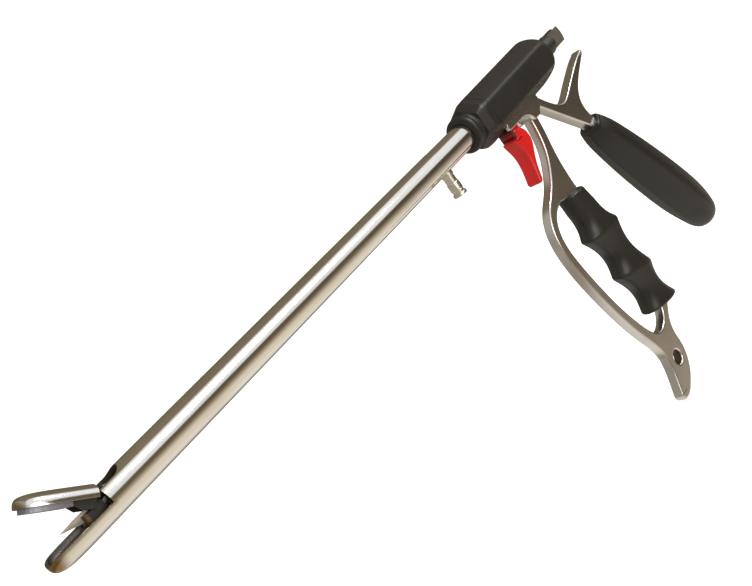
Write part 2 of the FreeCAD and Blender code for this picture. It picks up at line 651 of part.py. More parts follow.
def handle_frame():
    """Cast frame: neck with two cheeks, finger arm, tang for the grip, bow guard and tail with an eye."""
    plate = slab(frame_outline(), -FRAME_HALF, FRAME_HALF)
    plate = plate.cut(slab(loop_outline(), -FRAME_HALF - 1, FRAME_HALF + 1))
    eye = rod_y(EYE_R, EYE_X, EYE_Z, -6, 6)
    neck = slab(outline([(SLOT_X0 + 0.1, NECK_TOP), (SLOT_X1 - 0.1, NECK_TOP)],
                        [(SLOT_X1 - 0.1, NECK_TOP), (SLOT_X1 - 0.1, -10.2)],
                        [(SLOT_X1 - 0.1, -10.2), (45.8, -11.4), (42.8, -13.0), (41.3, -14.6)],
                        [(41.3, -14.6), (36.7, -14.6)],
                        [(36.7, -14.6), (35.8, -12.6), (33.8, -11.3), (31.0, -10.3)],
                        [(31.0, -10.3), (SLOT_X0 + 0.1, -10.3)],
                        [(SLOT_X0 + 0.1, -10.3), (SLOT_X0 + 0.1, NECK_TOP)]), -SLOT_HALF + 0.05, SLOT_HALF - 0.05)
    lever_room = poly([(39.6, -4), (50, -4), (50, -17), (41.95, -17), (41.95, -13), (39.6, -10)],
                      -CHEEK_IN, CHEEK_IN)
    trigger_room = poly([(18, -4), (32.4, -4), (32.4, -12.5), (18, -12.5)], -CHEEK_IN, CHEEK_IN)
    body = fuse(plate.cut(lever_room), neck.cut(lever_room).cut(trigger_room))
    body = body.cut(eye).cut(finger_grip())
    body = body.cut(rod_y(PIVOT_R, LEVER_X, LEVER_Z, -6, 6))
    return body.cut(rod_y(TRIGGER_PIN_R, TRIGGER_X, TRIGGER_Z, -6, 6))


def lever_pin():
    return rod_y(PIVOT_R, LEVER_X, LEVER_Z, -SLOT_HALF + 0.1, SLOT_HALF - 0.1)


def trigger_pin():
    return rod_y(TRIGGER_PIN_R, TRIGGER_X, TRIGGER_Z, -SLOT_HALF + 0.1, SLOT_HALF - 0.1)


def fork(pivot_x, pivot_z, arm, turn, bottom, y_in, y_out):
    """Two tines with round pads on a crossbar and post, drawn upright and turned about the pivot."""
    bar = pivot_z + bottom
    pieces = [box(pivot_x - 1.2, pivot_x + 1.2, -y_out, y_out, bar, bar + 0.7),
              box(pivot_x - 1.2, pivot_x + 1.2, -HUB_HALF, HUB_HALF, pivot_z, bar + 0.7)]
    for side in (-1, 1):
        y0, y1 = sorted((side * y_in, side * y_out))
        pieces.append(box(pivot_x - 0.45, pivot_x + 0.45, y0, y1, bar, pivot_z + arm))
        pieces.append(rod_y(PAD_R, pivot_x, pivot_z + arm, y0, y1))
    shape = fuse(*pieces)
    shape.rotate(V(pivot_x, 0, pivot_z), Y_AXIS, turn)
    return shape


def thumb_lever():
    """Lever with the thumb spur, the tang for the palm grip and the fork that moves the jaws."""
    upper = [(46.2, -7.0), (48.6, -9.7), (53.3, -14.5), (57.8, -17.9), (61.4, -19.1), (66.0, -18.3),
             (73.0, -15.6), (81.0, -12.6), (87.5, -10.4), (92.0, -9.3)]
    tip = [(92.0, -9.3), (94.2, -9.2), (94.4, -10.4), (92.4, -11.4)]
    under = [(92.4, -11.4), (86.0, -14.4), (79.5, -17.8), (75.0, -21.2), (72.6, -25.0), (72.6, -29.5),
             (74.6, -34.0)]
    tang = [(74.6, -34.0), (97.0, -76.0), (92.0, -78.6), (68.6, -34.5)]
    low = [(68.6, -34.5), (60.0, -26.6), (50.0, -16.9), (42.0, -9.0)]
    edges = outline(upper, tip, under, tang[:2], tang[1:3], tang[2:], low[:1] + low[-1:])
    plate = slab(edges, -LEVER_HALF, LEVER_HALF)
    hub = rod_y(2.5, LEVER_X, LEVER_Z, -LEVER_HALF, LEVER_HALF)
    half_turn = -LEVER_SWING / 2
    tines = fork(LEVER_X, LEVER_Z, LEVER_ARM, half_turn, 2.2, SPOOL_GROOVE_R + 0.25,
                 SPOOL_GROOVE_R + 0.25 + TINE_T)
    body = fuse(plate, hub, tines)
    return body.cut(rod_y(PIVOT_R + RUN, LEVER_X, LEVER_Z, -6, 6))


def knife_trigger():
    """Moulded finger trigger with a hollow front, a hub between the cheeks and the knife's fork."""
    front = [(19.2, -11.4), (19.5, -14.5), (20.9, -20.0), (20.6, -26.0), (18.6, -31.6)]
    toe = [(18.6, -31.6), (18.6, -33.0), (19.9, -33.6), (21.3, -32.4)]
    back = [(21.3, -32.4), (23.2, -28.0), (26.8, -22.8), (29.6, -18.2), (29.3, -14.6)]
    blade = slab(outline(front, toe, back, [(29.3, -14.6), (27.0, -11.4)], [(27.0, -11.4), (19.2, -11.4)]),
                 -TRIGGER_HALF, TRIGGER_HALF)
    stem = poly([(21.6, -8.6), (28.4, -8.6), (27.4, -12.6), (20.8, -12.6)], -HUB_HALF, HUB_HALF)
    hub = rod_y(2.4, TRIGGER_X, TRIGGER_Z, -HUB_HALF, HUB_HALF)
    tines = fork(TRIGGER_X, TRIGGER_Z, KNIFE_ARM, TRIGGER_SWING / 2, 3.05, KNIFE_GROOVE_R + 0.15,
                 SLOT_HALF - 0.1)
    body = fuse(blade, stem, hub, tines)
    return body.cut(rod_y(TRIGGER_PIN_R + RUN, TRIGGER_X, TRIGGER_Z, -6, 6))


def oval(x, z, a, b):
    """Oval wire in a level plane: a along X, b along Y."""
    if a >= b:
        ellipse = Part.Ellipse(V(x, 0, z), a, b)
    else:
        ellipse = Part.Ellipse(V(x, 0, z), b, a)
        ellipse.rotate(FreeCAD.Placement(V(0, 0, 0), V(0, 0, 1), 90, V(x, 0, z)))
    return Part.Wire(ellipse.toShape())


def between(a, b, t):
    return a + (b - a) * t


def finger_grip():
    """Moulded grip with three finger grooves between sharp ridges."""
    parts = []
    for k, (top, low) in enumerate(zip(GRIP_RIDGES, GRIP_RIDGES[1:])):
        rings = []
        for t in (0.0, 0.25, 0.5, 0.75, 1.0):
            z = between(top, low, t)
            along = (z - GRIP_TOP[1]) / (GRIP_END[1] - GRIP_TOP[1])
            dip = math.sin(math.pi * t)
            crest_a = between(GRIP_TOP_A, GRIP_CREST, t) if k == 0 else GRIP_CREST
            if k == 2:
                crest_a = between(GRIP_CREST, GRIP_END_CREST, t)
            crest_b = between(GRIP_TOP_B, GRIP_Y_CREST, t) if k == 0 else GRIP_Y_CREST
            a = between(crest_a, min(GRIP_VALLEY, crest_a - 1.0), dip)
            b = between(crest_b, min(GRIP_Y_VALLEY, crest_b - 0.3), dip)
            x = between(GRIP_TOP[0], GRIP_END[0], along)
            ring = oval(x, z, a, b)
            ring.rotate(V(x, 0, z), Y_AXIS, between(GRIP_LEANS[k], GRIP_LEANS[k + 1], t))
            rings.append(ring)
        parts.append(Part.makeLoft(rings, True, False))
    body = parts[0].multiFuse(parts[1:])
    gap = 0.02
    tang = [(GRIP_TOP[0] - TANG_HALF - gap, -46.5), (GRIP_TOP[0] + TANG_HALF + gap, -46.5),
            (GRIP_END[0] + TANG_HALF + gap, -108.5), (GRIP_END[0] - TANG_HALF - gap, -108.5)]
    return body.cut(poly(tang, -FRAME_HALF - gap, FRAME_HALF + gap))


def palm_grip():
    """Smooth oval grip that fills the palm, with a rounded end."""
    dx, dz = PALM_END[0] - PALM_TOP[0], PALM_END[1] - PALM_TOP[1]
    length = math.hypot(dx, dz)
    lean = math.degrees(math.atan2(dx, -dz))
    rings = []
    for t, size in ((0.0, 0.62), (0.05, 0.77), (0.18, 0.96), (0.38, 1.1), (0.6, 1.17), (0.78, 1.14),
                    (0.9, 0.98), (0.97, 0.68), (1.0, 0.25)):
        ring = oval(0, -t * length, PALM_DEEP * size, PALM_WIDE * size)
        ring.rotate(V(0, 0, 0), Y_AXIS, -lean)
        ring.translate(V(PALM_TOP[0], 0, PALM_TOP[1]))
        rings.append(ring)
    body = Part.makeLoft(rings, True, False)
    gap = 0.02
    socket = poly([(74.6, -34.0), (97.0, -76.0), (92.0, -78.6), (68.6, -34.5), (66.0, -30.0), (73.5, -27.0)],
                  -LEVER_HALF - gap, LEVER_HALF + gap)
    return body.cut(socket)


def spring(x0, x1, r, turns):
    """Coil spring along the shaft's axis."""
    pitch = (x1 - x0 - 2 * WIRE_R) / turns
    helix = Part.makeHelix(pitch, x1 - x0 - 2 * WIRE_R, r)
    ring = Part.Wire(Part.makeCircle(WIRE_R, V(r, 0, 0), Y_AXIS))
    coil = Part.Wire(helix.Edges).makePipeShell([ring], True, True)
    coil.rotate(V(0, 0, 0), Y_AXIS, 90)
    coil.translate(V(x0 + WIRE_R, 0, 0))
    return coil


def knife_spring():
    return spring(JOURNAL_END_X, KNIFE_SPOOL_X - PAD_R - RUN - 1.2, 3.2, 4)


def jaw_spring():
    return spring(SPOOL_X + PAD_R + RUN + FLANGE_T, CAP_X - CAP_SPIGOT - 1.4, 3.0, 5)


def spring_seat():
    return tube_x(HOUSING_BORE_R - 0.02, PULL_R + 0.3, CAP_X - CAP_SPIGOT - 1.4, CAP_X - CAP_SPIGOT)


PIECES = {
    "shaft_tube": shaft_tube,
    "lower_jaw": lower_jaw,
    "jaw_hinge_pin": hinge_pin,
    "lower_insulator": lower_insulator,
    "lower_electrode": lower_electrode,
    "guide_block": guide_block,
    "cheek_pins": cheek_pins,
    "knife_guide": knife_guide,
    "upper_jaw": upper_jaw,
    "upper_insulator": upper_insulator,
    "upper_electrode": upper_electrode,
    "pull_tube": pull_tube,
    "drive_tongue": drive_tongue,
    "drive_pin": drive_pin,
    "jaw_spool": jaw_spool,
    "jaw_spool_pins": jaw_spool_pin,
    "knife_blade": knife_blade,
    "knife_rod": knife_rod,
    "knife_spool": knife_spool,
    "knife_cross_pin": knife_cross_pin,
    "front_collar": collar,
    "turning_knob": turning_knob,
    "shaft_journal": journal,
    "retaining_ring": retaining_ring,
    "front_bush": front_bush,
    "rod_guides": rod_guides,
    "shaft_seal": shaft_seal,
    "flush_port": flush_port,
    "housing": housing,
    "rear_cap": rear_cap,
    "connector_boot": connector_boot,
    "contact_core": contact_core,
    "contact_blades": contact_blades,
    "handle_frame": handle_frame,
    "lever_pin": lever_pin,
    "trigger_pin": trigger_pin,
    "thumb_lever": thumb_lever,
    "knife_trigger": knife_trigger,
    "finger_grip": finger_grip,
    "palm_grip": palm_grip,
    "knife_spring": knife_spring,
    "jaw_spring": jaw_spring,
    "spring_seat": spring_seat,
}


def main():
    os.makedirs("parts", exist_ok=True)
    for name, build in PIECES.items():
        shape = solid(build())
        if not shape.isValid() or shape.Volume <= 0:
            raise ValueError(name + " is not a sound solid")
        shape.exportStep(os.path.join("parts", name + ".step"))
        b = shape.BoundBox
        print(f"{name:18s} solids {len(shape.Solids)} volume {shape.Volume:9.1f}  x {b.XMin:.1f}..{b.XMax:.1f}"
              f"  y {b.YMin:.1f}..{b.YMax:.1f}  z {b.ZMin:.1f}..{b.ZMax:.1f}")


main()
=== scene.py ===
import math

import bmesh
import bpy
import numpy as np
from mathutils import Matrix, Vector


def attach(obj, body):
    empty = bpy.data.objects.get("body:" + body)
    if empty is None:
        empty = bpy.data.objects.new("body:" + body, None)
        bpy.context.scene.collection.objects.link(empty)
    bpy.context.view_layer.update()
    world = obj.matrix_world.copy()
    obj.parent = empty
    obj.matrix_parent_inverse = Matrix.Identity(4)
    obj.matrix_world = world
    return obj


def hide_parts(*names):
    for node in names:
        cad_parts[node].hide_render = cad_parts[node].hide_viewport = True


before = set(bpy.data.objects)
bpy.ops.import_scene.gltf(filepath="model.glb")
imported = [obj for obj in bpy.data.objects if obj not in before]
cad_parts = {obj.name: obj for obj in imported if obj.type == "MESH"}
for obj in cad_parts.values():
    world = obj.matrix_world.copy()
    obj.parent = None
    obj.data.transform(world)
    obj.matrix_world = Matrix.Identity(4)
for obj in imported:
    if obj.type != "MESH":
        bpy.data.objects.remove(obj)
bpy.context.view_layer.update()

# Shaft tube: a 10 mm stainless tube, drawn and then polished along its length, from the jaw body
# to the front collar. The origin of everything is on its axis, at the collar's front face.
MM = 0.001
SHAFT_R = 5.0
TUBE_BORE_R = 4.3
SEAT_R = 4.9
SEAM_X = -176.0
SEAT_X = -21.6
TUBE_END_X = 10.0
NOISE_MIDDLE = (0.35, 0.65)
NOISE_SPAN = (0.25, 0.75)
GRAIN_DEPTH = 0.03
MERGE_M = 2e-6
SPECK_M = 1e-7


def tone(code):
    """Linear colour of an sRGB hex value: a channel c above 0.04045 becomes ((c + 0.055) / 1.055)^2.4."""
    parts = [int(code[i:i + 2], 16) / 255 for i in (1, 3, 5)]
    return [p / 12.92 if p <= 0.04045 else ((p + 0.055) / 1.055) ** 2.4 for p in parts] + [1.0]


def add(tree, kind, inputs=(), **settings):
    """Adds a node with its settings; an input is a constant or another node's output."""
    made = tree.nodes.new(kind)
    for key, value in settings.items():
        setattr(made, key, value)
    for key, value in dict(inputs).items():
        if isinstance(value, bpy.types.NodeSocket):
            tree.links.new(value, made.inputs[key])
        else:
            made.inputs[key].default_value = value
    return made


def mixed(tree, share, first, second):
    """Output of a colour mix: the first colour at a share of 0, the second at a share of 1."""
    return add(tree, "ShaderNodeMix", {0: share, 6: first, 7: second}, data_type="RGBA").outputs[2]


def ranged(tree, value, start, end, kind="SMOOTHSTEP", low=0.0, high=1.0):
    """Output that goes from low to high while a value goes from start to end, and stays there."""
    spans = {"Value": value, "From Min": start, "From Max": end, "To Min": low, "To Max": high}
    return add(tree, "ShaderNodeMapRange", spans, interpolation_type=kind).outputs[0]


def finish_of(name, base, stain, roughness, wear=0.05, grain=(1, 1, 1), grain_mm=0.3, stain_mm=15.0,
              bump=0.05, tint=None, **shader):
    """Material of a real finish: its colour drifts slowly towards a second one, and a fine grain,
    sized in millimetres and stretched along an axis, varies its roughness and its surface. A tint
    is a third colour that comes in between two places along X, in millimetres."""
    mat = bpy.data.materials.new(name)
    mat.use_nodes = True
    tree = mat.node_tree
    tree.nodes.clear()
    place = add(tree, "ShaderNodeTexCoord").outputs["Object"]
    drawn = add(tree, "ShaderNodeMapping", {"Vector": place, "Scale": grain}).outputs[0]
    noise = {"Vector": drawn, "Scale": 1 / (grain_mm * MM), "Detail": 3.0}
    fine = add(tree, "ShaderNodeTexNoise", noise).outputs[0]
    noise = {"Vector": place, "Scale": 1 / (stain_mm * MM), "Detail": 2.0}
    slow = add(tree, "ShaderNodeTexNoise", noise).outputs[0]
    colour = mixed(tree, ranged(tree, slow, *NOISE_MIDDLE, "LINEAR"), tone(base), tone(stain))
    if tint:
        shade, start, end = tint
        along = add(tree, "ShaderNodeSeparateXYZ", {0: place}).outputs["X"]
        colour = mixed(tree, ranged(tree, along, start * MM, end * MM), colour, tone(shade))
    rough = ranged(tree, fine, *NOISE_SPAN, "LINEAR", roughness - wear, roughness + wear)
    raised = add(tree, "ShaderNodeBump", {"Height": fine, "Strength": bump, "Distance": GRAIN_DEPTH * MM})
    made = add(tree, "ShaderNodeBsdfPrincipled", {"Base Color": colour, "Roughness": rough,
                                                  "Normal": raised.outputs[0], **shader})
    add(tree, "ShaderNodeOutputMaterial", {"Surface": made.outputs[0]})
    return mat


def settle(piece, mat, body, slot, *nodes):
    """Gives a finished piece its material and body, and hides the nodes it stands for; the slot is not used.
    """
    piece.data.materials.clear()
    piece.data.materials.append(mat)
    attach(piece, body)
    if nodes:
        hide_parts(*nodes)


def second_finish(piece, mat, chosen):
    """Gives a second finish to the faces whose centres and normals, in millimetres, are chosen."""
    piece.data.materials.append(mat)
    count = len(piece.data.polygons)
    centres, normals = np.empty(count * 3), np.empty(count * 3)
    piece.data.polygons.foreach_get("center", centres)
    piece.data.polygons.foreach_get("normal", normals)
    marks = chosen(centres.reshape(-1, 3).T / MM, normals.reshape(-1, 3).T)
    piece.data.polygons.foreach_set("material_index", marks.astype(np.int32))


def stand(name, mesh, sharp):
    """Object at the origin from a mesh: doubles merged, faces outward, and edges crisp where a flat
    side begins or, if sharp isn't 0, where they turn by more than that angle."""
    work = bmesh.new()
    work.from_mesh(mesh)
    bmesh.ops.remove_doubles(work, verts=work.verts, dist=MERGE_M)
    bmesh.ops.dissolve_degenerate(work, edges=work.edges, dist=SPECK_M)
    bmesh.ops.recalc_face_normals(work, faces=work.faces)
    for face in work.faces:
        face.smooth = True
    for edge in work.edges:
        flat = [abs(face.normal.y) > 0.9999 for face in edge.link_faces]
        edge.smooth = len(set(flat)) < 2
    work.to_mesh(mesh)
    work.free()
    if sharp:
        mesh.set_sharp_from_angle(angle=math.radians(sharp))
    made = bpy.data.objects.new(name, mesh)
    bpy.context.collection.objects.link(made)
    return made


def grid(name, points, closed=False, caps=2, sharp=38.0):
    """Surface through a grid of points in millimetres, rows x columns x 3, closed around its
    columns; its rows are closed into a ring, or the first row and the last are capped."""
    rows, columns = points.shape[:2]
    i, j = np.meshgrid(np.arange(rows if closed else rows - 1), np.arange(columns), indexing="ij")
    here, below, beside = i * columns, (i + 1) % rows * columns, (j + 1) % columns
    quads = np.stack([here + j, here + beside, below + beside, below + j], -1)
    faces = quads.reshape(-1, 4).tolist()
    ends = [] if closed else [0, rows - 1][:caps]
    for row in ends:
        faces.append(list(range(row * columns, (row + 1) * columns)))
    mesh = bpy.data.meshes.new(name)
    mesh.from_pydata((points.reshape(-1, 3) * MM).tolist(), [], faces)
    return stand(name, mesh, sharp)


def turned(profile, axis="x", centre=(0.0, 0.0, 0.0), around=144):
    """Grid of a turned piece: (along, radius) points carried round the X or Z axis at a centre."""
    line = np.array(profile, float)
    angle = np.linspace(0, 2 * np.pi, around, endpoint=False)
    along = np.repeat(line[:, :1], around, axis=1)
    a, b = line[:, 1:] * np.cos(angle), line[:, 1:] * np.sin(angle)
    return np.stack([along, a, b] if axis == "x" else [a, b, along], -1) + np.array(centre)


# Polished stainless: bright, with fine lines drawn along the tube
polished = finish_of("polished_stainless", "#e9e6e1", "#dedad2", 0.13, 0.04, (0.04, 1, 1), 0.22, 40.0, 0.06,
                     Metallic=1.0)
tube_line = [(SEAM_X, TUBE_BORE_R), (SEAM_X, SHAFT_R), (SEAT_X, SHAFT_R), (SEAT_X + 0.1, SEAT_R),
             (TUBE_END_X, SEAT_R), (TUBE_END_X, TUBE_BORE_R)]
tube = grid("shaft_tube_skin", turned(tube_line), closed=True)
settle(tube, polished, "shaft", "polished_steel", "shaft_tube")

# Lower jaw: machined from one stainless bar with the clevis. A spoon with a rounded nose, a wall
# 0.85 mm thick and a flat rim; its inside holds the electrode on a dark insulating bed.
HINGE = (-181.6, 2.5)
JAW_OPEN = math.radians(36.0)
TIP_X = HINGE[0] - 22.7
UPPER_TIP_X = TIP_X + 0.2
CLEVIS_X = HINGE[0] - 3.4
CLEVIS_SLOT = 3.3
CLEVIS_FLOOR_Z = -2.7
CLEVIS_LEAN_Z = 3.8
RING_X = SEAM_X - 1.0
BORE_R = 2.3
ROOT_X = CLEVIS_X + 0.9
JAW_BACK_X = HINGE[0] - 4.1
JAW_HALF = 4.98
JAW_WALL = 0.85
LOWER_RIM_Z = -0.35
UPPER_RIM_Z = -0.1
LOWER_DEPTH = 4.66
UPPER_DEPTH = 3.4
NOSE = 0.14
EDGE_ROUND = 0.12
THIN = 1e-4


def jaw_shell(back_x, tip_x, half, height, rim, side, lift, power, drop):
    """Grid of a spoon-shaped jaw. At a share s of its length the half width is half times
    (1 - s^7)^0.5 and the height is height times the same to a power; the section is half a
    superellipse from rim to rim, a coordinate being its half width times cosine or sine to 2 / p.
    The outside and the inside, drawn in by the wall, meet along the rim, which drops along a
    quarter circle over the last seventh, and the height ends at that drop."""
    root = (back_x - ROOT_X) / (tip_x - ROOT_X)
    s = root + (1 - root) * np.sin(np.linspace(0, np.pi / 2, 70))
    skins = []
    for inset, order in ((0.0, 1), (JAW_WALL, -1)):
        full = np.sqrt(np.clip(1 - s ** 7, 0, 1))[:, None]
        wide = np.maximum((half - inset) * full, THIN)
        u = np.clip((s[:, None] - (1 - NOSE)) / NOSE, 0, 1)
        low = drop * (1 - np.sqrt(1 - u ** 2))
        tall = drop + (height - inset - drop) * full ** lift
        angle = np.pi / 2 * np.linspace(-1, 1, 81)[::order]
        x = ROOT_X + s[:, None] * (tip_x + inset - ROOT_X)
        y = wide * np.sign(np.sin(angle)) * np.abs(np.sin(angle)) ** (2 / power)
        z = rim + side * (low + np.maximum(tall - low, THIN) * np.abs(np.cos(angle)) ** (2 / power))
        skins.append(np.stack([x + 0 * y, y, z], -1))
    return np.concatenate(skins, axis=1)


def clevis_grid():
    """Grid of the clevis: round outside, a slot between two cheeks with a rounded end, a flat
    floor, a bore on the axis for the pull tube, and a front edge that is upright at first and
    then leans back with the open jaw."""
    slot_end = RING_X - CLEVIS_SLOT
    straight = 0.68
    along = np.concatenate([np.linspace(0, straight, 20, endpoint=False),
                            straight + (1 - straight) * np.sin(np.linspace(0, np.pi / 2, 24))])
    x = CLEVIS_X + along * (RING_X - CLEVIS_X)
    past_end = np.clip(x - slot_end, 0, None)
    width = np.sqrt(np.clip(CLEVIS_SLOT ** 2 - past_end ** 2, 0, None))
    start = np.arcsin(np.maximum(width, THIN) / SHAFT_R)[:, None]
    turn = start + (2 * np.pi - 2 * start) * np.linspace(0, 1, 121)
    outer = np.stack([SHAFT_R * np.sin(turn), SHAFT_R * np.cos(turn)], -1)
    rim = SHAFT_R * np.cos(start) - 0.01
    wall_z = rim + (CLEVIS_FLOOR_Z - rim) * np.linspace(0, 1, 30)
    gap = np.maximum(width[:, None], np.sqrt(np.clip(BORE_R ** 2 - wall_z ** 2, 0, None)))
    left = np.stack([-gap, wall_z], -1)
    right = np.stack([gap[:, ::-1], wall_z[:, ::-1]], -1)
    section = np.concatenate([outer, left, right], axis=1)
    z = section[..., 1]
    lean = np.clip(z - CLEVIS_LEAN_Z, 0, None) * math.tan(JAW_OPEN)
    shift = np.where(z < LOWER_RIM_Z, ROOT_X - CLEVIS_X - 0.05, lean)
    return np.stack([x[:, None] + shift * (1 - along[:, None]), section[..., 0], z], -1)


def opened(points):
    """Turns points drawn with the jaws closed about the hinge to the open position."""
    cosine, sine = math.cos(JAW_OPEN), math.sin(JAW_OPEN)
    dx, dz = points[..., 0] - HINGE[0], points[..., 2] - HINGE[1]
    return np.stack([HINGE[0] + dx * cosine + dz * sine, points[..., 1],
                     HINGE[1] - dx * sine + dz * cosine], -1)


def soften(piece):
    """Breaks a piece's sharp edges with a small rounding."""
    bevel = piece.modifiers.new("edges", "BEVEL")
    bevel.width = EDGE_ROUND * MM
    bevel.segments = 2
    bevel.limit_method = "ANGLE"
    bevel.angle_limit = math.radians(45)
    bevel.harden_normals = True


def painted_nose_jaw_finish(name, tint):
    """Steel polished like the tube, with brown brought in towards the nose as a painted dark reflection."""
    return finish_of(name, "#e6e3de", "#dcd8d0", 0.13, 0.04, (0.3, 1, 1), 0.25, 12.0, 0.04, tint=tint,
                     Metallic=1.0)


def inside_lower(c, n):
    """Faces below the rim that look towards the middle of the lower spoon's opening."""
    return (n[1] * c[1] + n[2] * (c[2] - LOWER_RIM_Z) < 0) & (c[2] < LOWER_RIM_Z - 0.02)


def inside_upper(c, n):
    """Faces that look towards the middle of the opened upper spoon, without those of the rim."""
    upward = n[0] * math.sin(JAW_OPEN) + n[2] * math.cos(JAW_OPEN)
    return (n[1] * c[1] + upward * 4 < 0) & (upward > -0.97)


# The brown at the lower jaw's nose is a painted reflection
jaw_steel = painted_nose_jaw_finish("polished_jaw_steel_painted_nose", ("#8a6a44", TIP_X + 4.6, TIP_X + 1.2))
spoon = grid("lower_jaw_spoon", jaw_shell(ROOT_X, TIP_X, JAW_HALF, LOWER_DEPTH, LOWER_RIM_Z, side=-1,
                                          lift=0.75, power=2.0, drop=1.1))
soften(spoon)
settle(spoon, jaw_steel, "shaft", "polished_steel", "lower_jaw")
# Inside the spoons the cutter's marks are left, which dull the steel, and the steel is painted darker there
# as painted shade in the hollow
milled_and_shaded = finish_of("milled_jaw_steel_painted_shade", "#85837f", "#76746f", 0.42, 0.05, (0.3, 1, 1), 0.25, 8.0, 0.04,
                   Metallic=1.0)
second_finish(spoon, milled_and_shaded, inside_lower)
# The clevis ends on the ring behind it, which closes it
clevis = grid("jaw_clevis", clevis_grid(), caps=1)
settle(clevis, polished, "shaft", "polished_steel")
# The slot's walls are painted dark, a painted shade deep inside the slot
slot_shade = finish_of("slot_wall_painted_shade", "#2e2a22", "#3a342a", 0.5, 0.05, (1, 1, 1), 0.3, 4.0, 0.1, Metallic=0.6)
second_finish(clevis, slot_shade, lambda c, n: (np.hypot(c[1], c[2]) < SHAFT_R - 0.05) & (c[0] > CLEVIS_X + 0.3))
ring_line = [(RING_X, BORE_R), (RING_X, SHAFT_R), (SEAM_X, SHAFT_R), (SEAM_X, BORE_R)]
neck_ring = grid("jaw_body_ring", turned(ring_line), closed=True)
settle(neck_ring, polished, "shaft", "polished_steel")

# Upper jaw: a flatter spoon of the same steel, milled and polished like the lower one and turned up
# about the hinge pin; its open side holds the other electrode
# The upper jaw's nose is painted brown between these places along X, a painted reflection
UPPER_PAINTED_NOSE_X = (-198.6, -200.8)
upper_steel = painted_nose_jaw_finish("polished_upper_jaw_steel_painted_nose", ("#7f6d4c", *UPPER_PAINTED_NOSE_X))
upper_points = jaw_shell(JAW_BACK_X, UPPER_TIP_X, JAW_HALF - 0.1, UPPER_DEPTH, UPPER_RIM_Z, side=1,
                         lift=0.5, power=2.5, drop=0.0)
upper = grid("upper_jaw_spoon", opened(upper_points))
soften(upper)
settle(upper, upper_steel, "upper_jaw", "polished_steel", "upper_jaw")
# The upper spoon's inside takes the same dull steel with its painted shade
second_finish(upper, milled_and_shaded, inside_upper)


def through(points, per=10):
    """Smooth line through points: a natural cubic spline over the chord length, sampled evenly
    between each pair."""
    p = np.array(points, float)
    t = np.concatenate([[0.0], np.cumsum(np.linalg.norm(np.diff(p, axis=0), axis=1))])
    h = np.diff(t)
    n = len(p)
    system = np.eye(n)
    right = np.zeros((n, p.shape[1]))
    inner = np.arange(1, n - 1)
    system[inner, inner - 1] = h[:-1]
    system[inner, inner] = 2 * (h[:-1] + h[1:])
    system[inner, inner + 1] = h[1:]
    slope = np.diff(p, axis=0) / h[:, None]
    right[1:-1] = 6 * np.diff(slope, axis=0)
    bend = np.linalg.solve(system, right)
    u = np.linspace(0, 1, per, endpoint=False)[None, :, None]
    a, b, w = p[:-1, None], p[1:, None], h[:, None, None] ** 2 / 6
    back, ahead = (1 - u) ** 3 - (1 - u), u ** 3 - u
    line = (1 - u) * a + u * b + w * (back * bend[:-1, None] + ahead * bend[1:, None])
    return np.concatenate([line.reshape(-1, p.shape[1]), p[-1:]])


def outline(*runs):
    """Closed outline of (x, z) runs: a run of two is a straight edge, with points near its ends so
    that it is shaded flat, and a longer one is a smooth line."""
    parts = []
    for run in runs:
        ends = np.array(run, float)
        if len(run) > 2:
            parts.append(through(run))
        else:
            share = min(0.3, 0.5 / np.linalg.norm(ends[1] - ends[0]))
            parts.append(ends[0] + (ends[1] - ends[0]) * np.array([[0], [share], [1 - share], [1]]))
    line = np.concatenate(parts)
    apart = np.linalg.norm(line - np.roll(line, 1, axis=0), axis=1) > 1e-3
    return line[apart]


def plate(name, loops, y0, y1, edge):
    """Flat piece cut to (x, z) outlines, the first the outside and the rest holes, between two
    depths, with its edges rounded by a radius."""
    curve = bpy.data.curves.new(name, "CURVE")
    curve.dimensions = "2D"
    curve.fill_mode = "BOTH"
    curve.extrude = ((y1 - y0) / 2 - edge) * MM
    curve.bevel_depth = edge * MM
    curve.bevel_resolution = 5
    curve.offset = -edge * MM
    for loop in loops:
        spline = curve.splines.new("POLY")
        spline.points.add(len(loop) - 1)
        flat = np.concatenate([loop * MM, np.zeros((len(loop), 1)), np.ones((len(loop), 1))], axis=1)
        spline.points.foreach_set("co", flat.ravel())
        spline.use_cyclic_u = True
    holder = bpy.data.objects.new(name + "_outline", curve)
    bpy.context.collection.objects.link(holder)
    bpy.context.view_layer.update()
    mesh = bpy.data.meshes.new_from_object(holder.evaluated_get(bpy.context.evaluated_depsgraph_get()))
    bpy.data.objects.remove(holder)
    bpy.data.curves.remove(curve)
    mesh.transform(Matrix.Translation((0, (y0 + y1) / 2 * MM, 0)) @ Matrix.Rotation(math.pi / 2, 4, "X"))
    return stand(name, mesh, 0.0)


def circle(x, z, r):
    """Round outline about (x, z)."""
    turn = np.linspace(0, 2 * np.pi, 48, endpoint=False)
    return np.stack([x + r * np.cos(turn), z + r * np.sin(turn)], -1)


# Front collar and turning knob: moulded in black plastic. The collar is a rounded ring, the knob a
# round neck that grows into six bevelled flats, one of them facing each side.
COLLAR_R = 7.3
NECK_R = 7.0
KNOB_FLAT = 8.92
NECK_END_X = 4.8
KNOB_SLOPE = 3.6
KNOB_END_X = 12.1
FOOT_R = NECK_R + 0.25
ENVELOPE_X = (4.6, 6.0, 8.3, 12.2)
ENVELOPE_R = (8.2, 9.0, 9.7, 10.15)
STEP_HALF = 0.12


def hexagon(angle, power):
    """Distance to a hexagon of unit flats with its corners at the top and bottom, rounded by a
    power: the p-norm of the direction over the three flats' normals, inverted."""
    total = 0
    for flat in (30, 90, 150):
        total = total + np.abs(np.cos(angle - math.radians(flat))) ** power
    return total ** (-1 / power)


def least(a, b, power):
    """Smooth smaller of two distances."""
    return (a ** -power + b ** -power) ** (-1 / power)


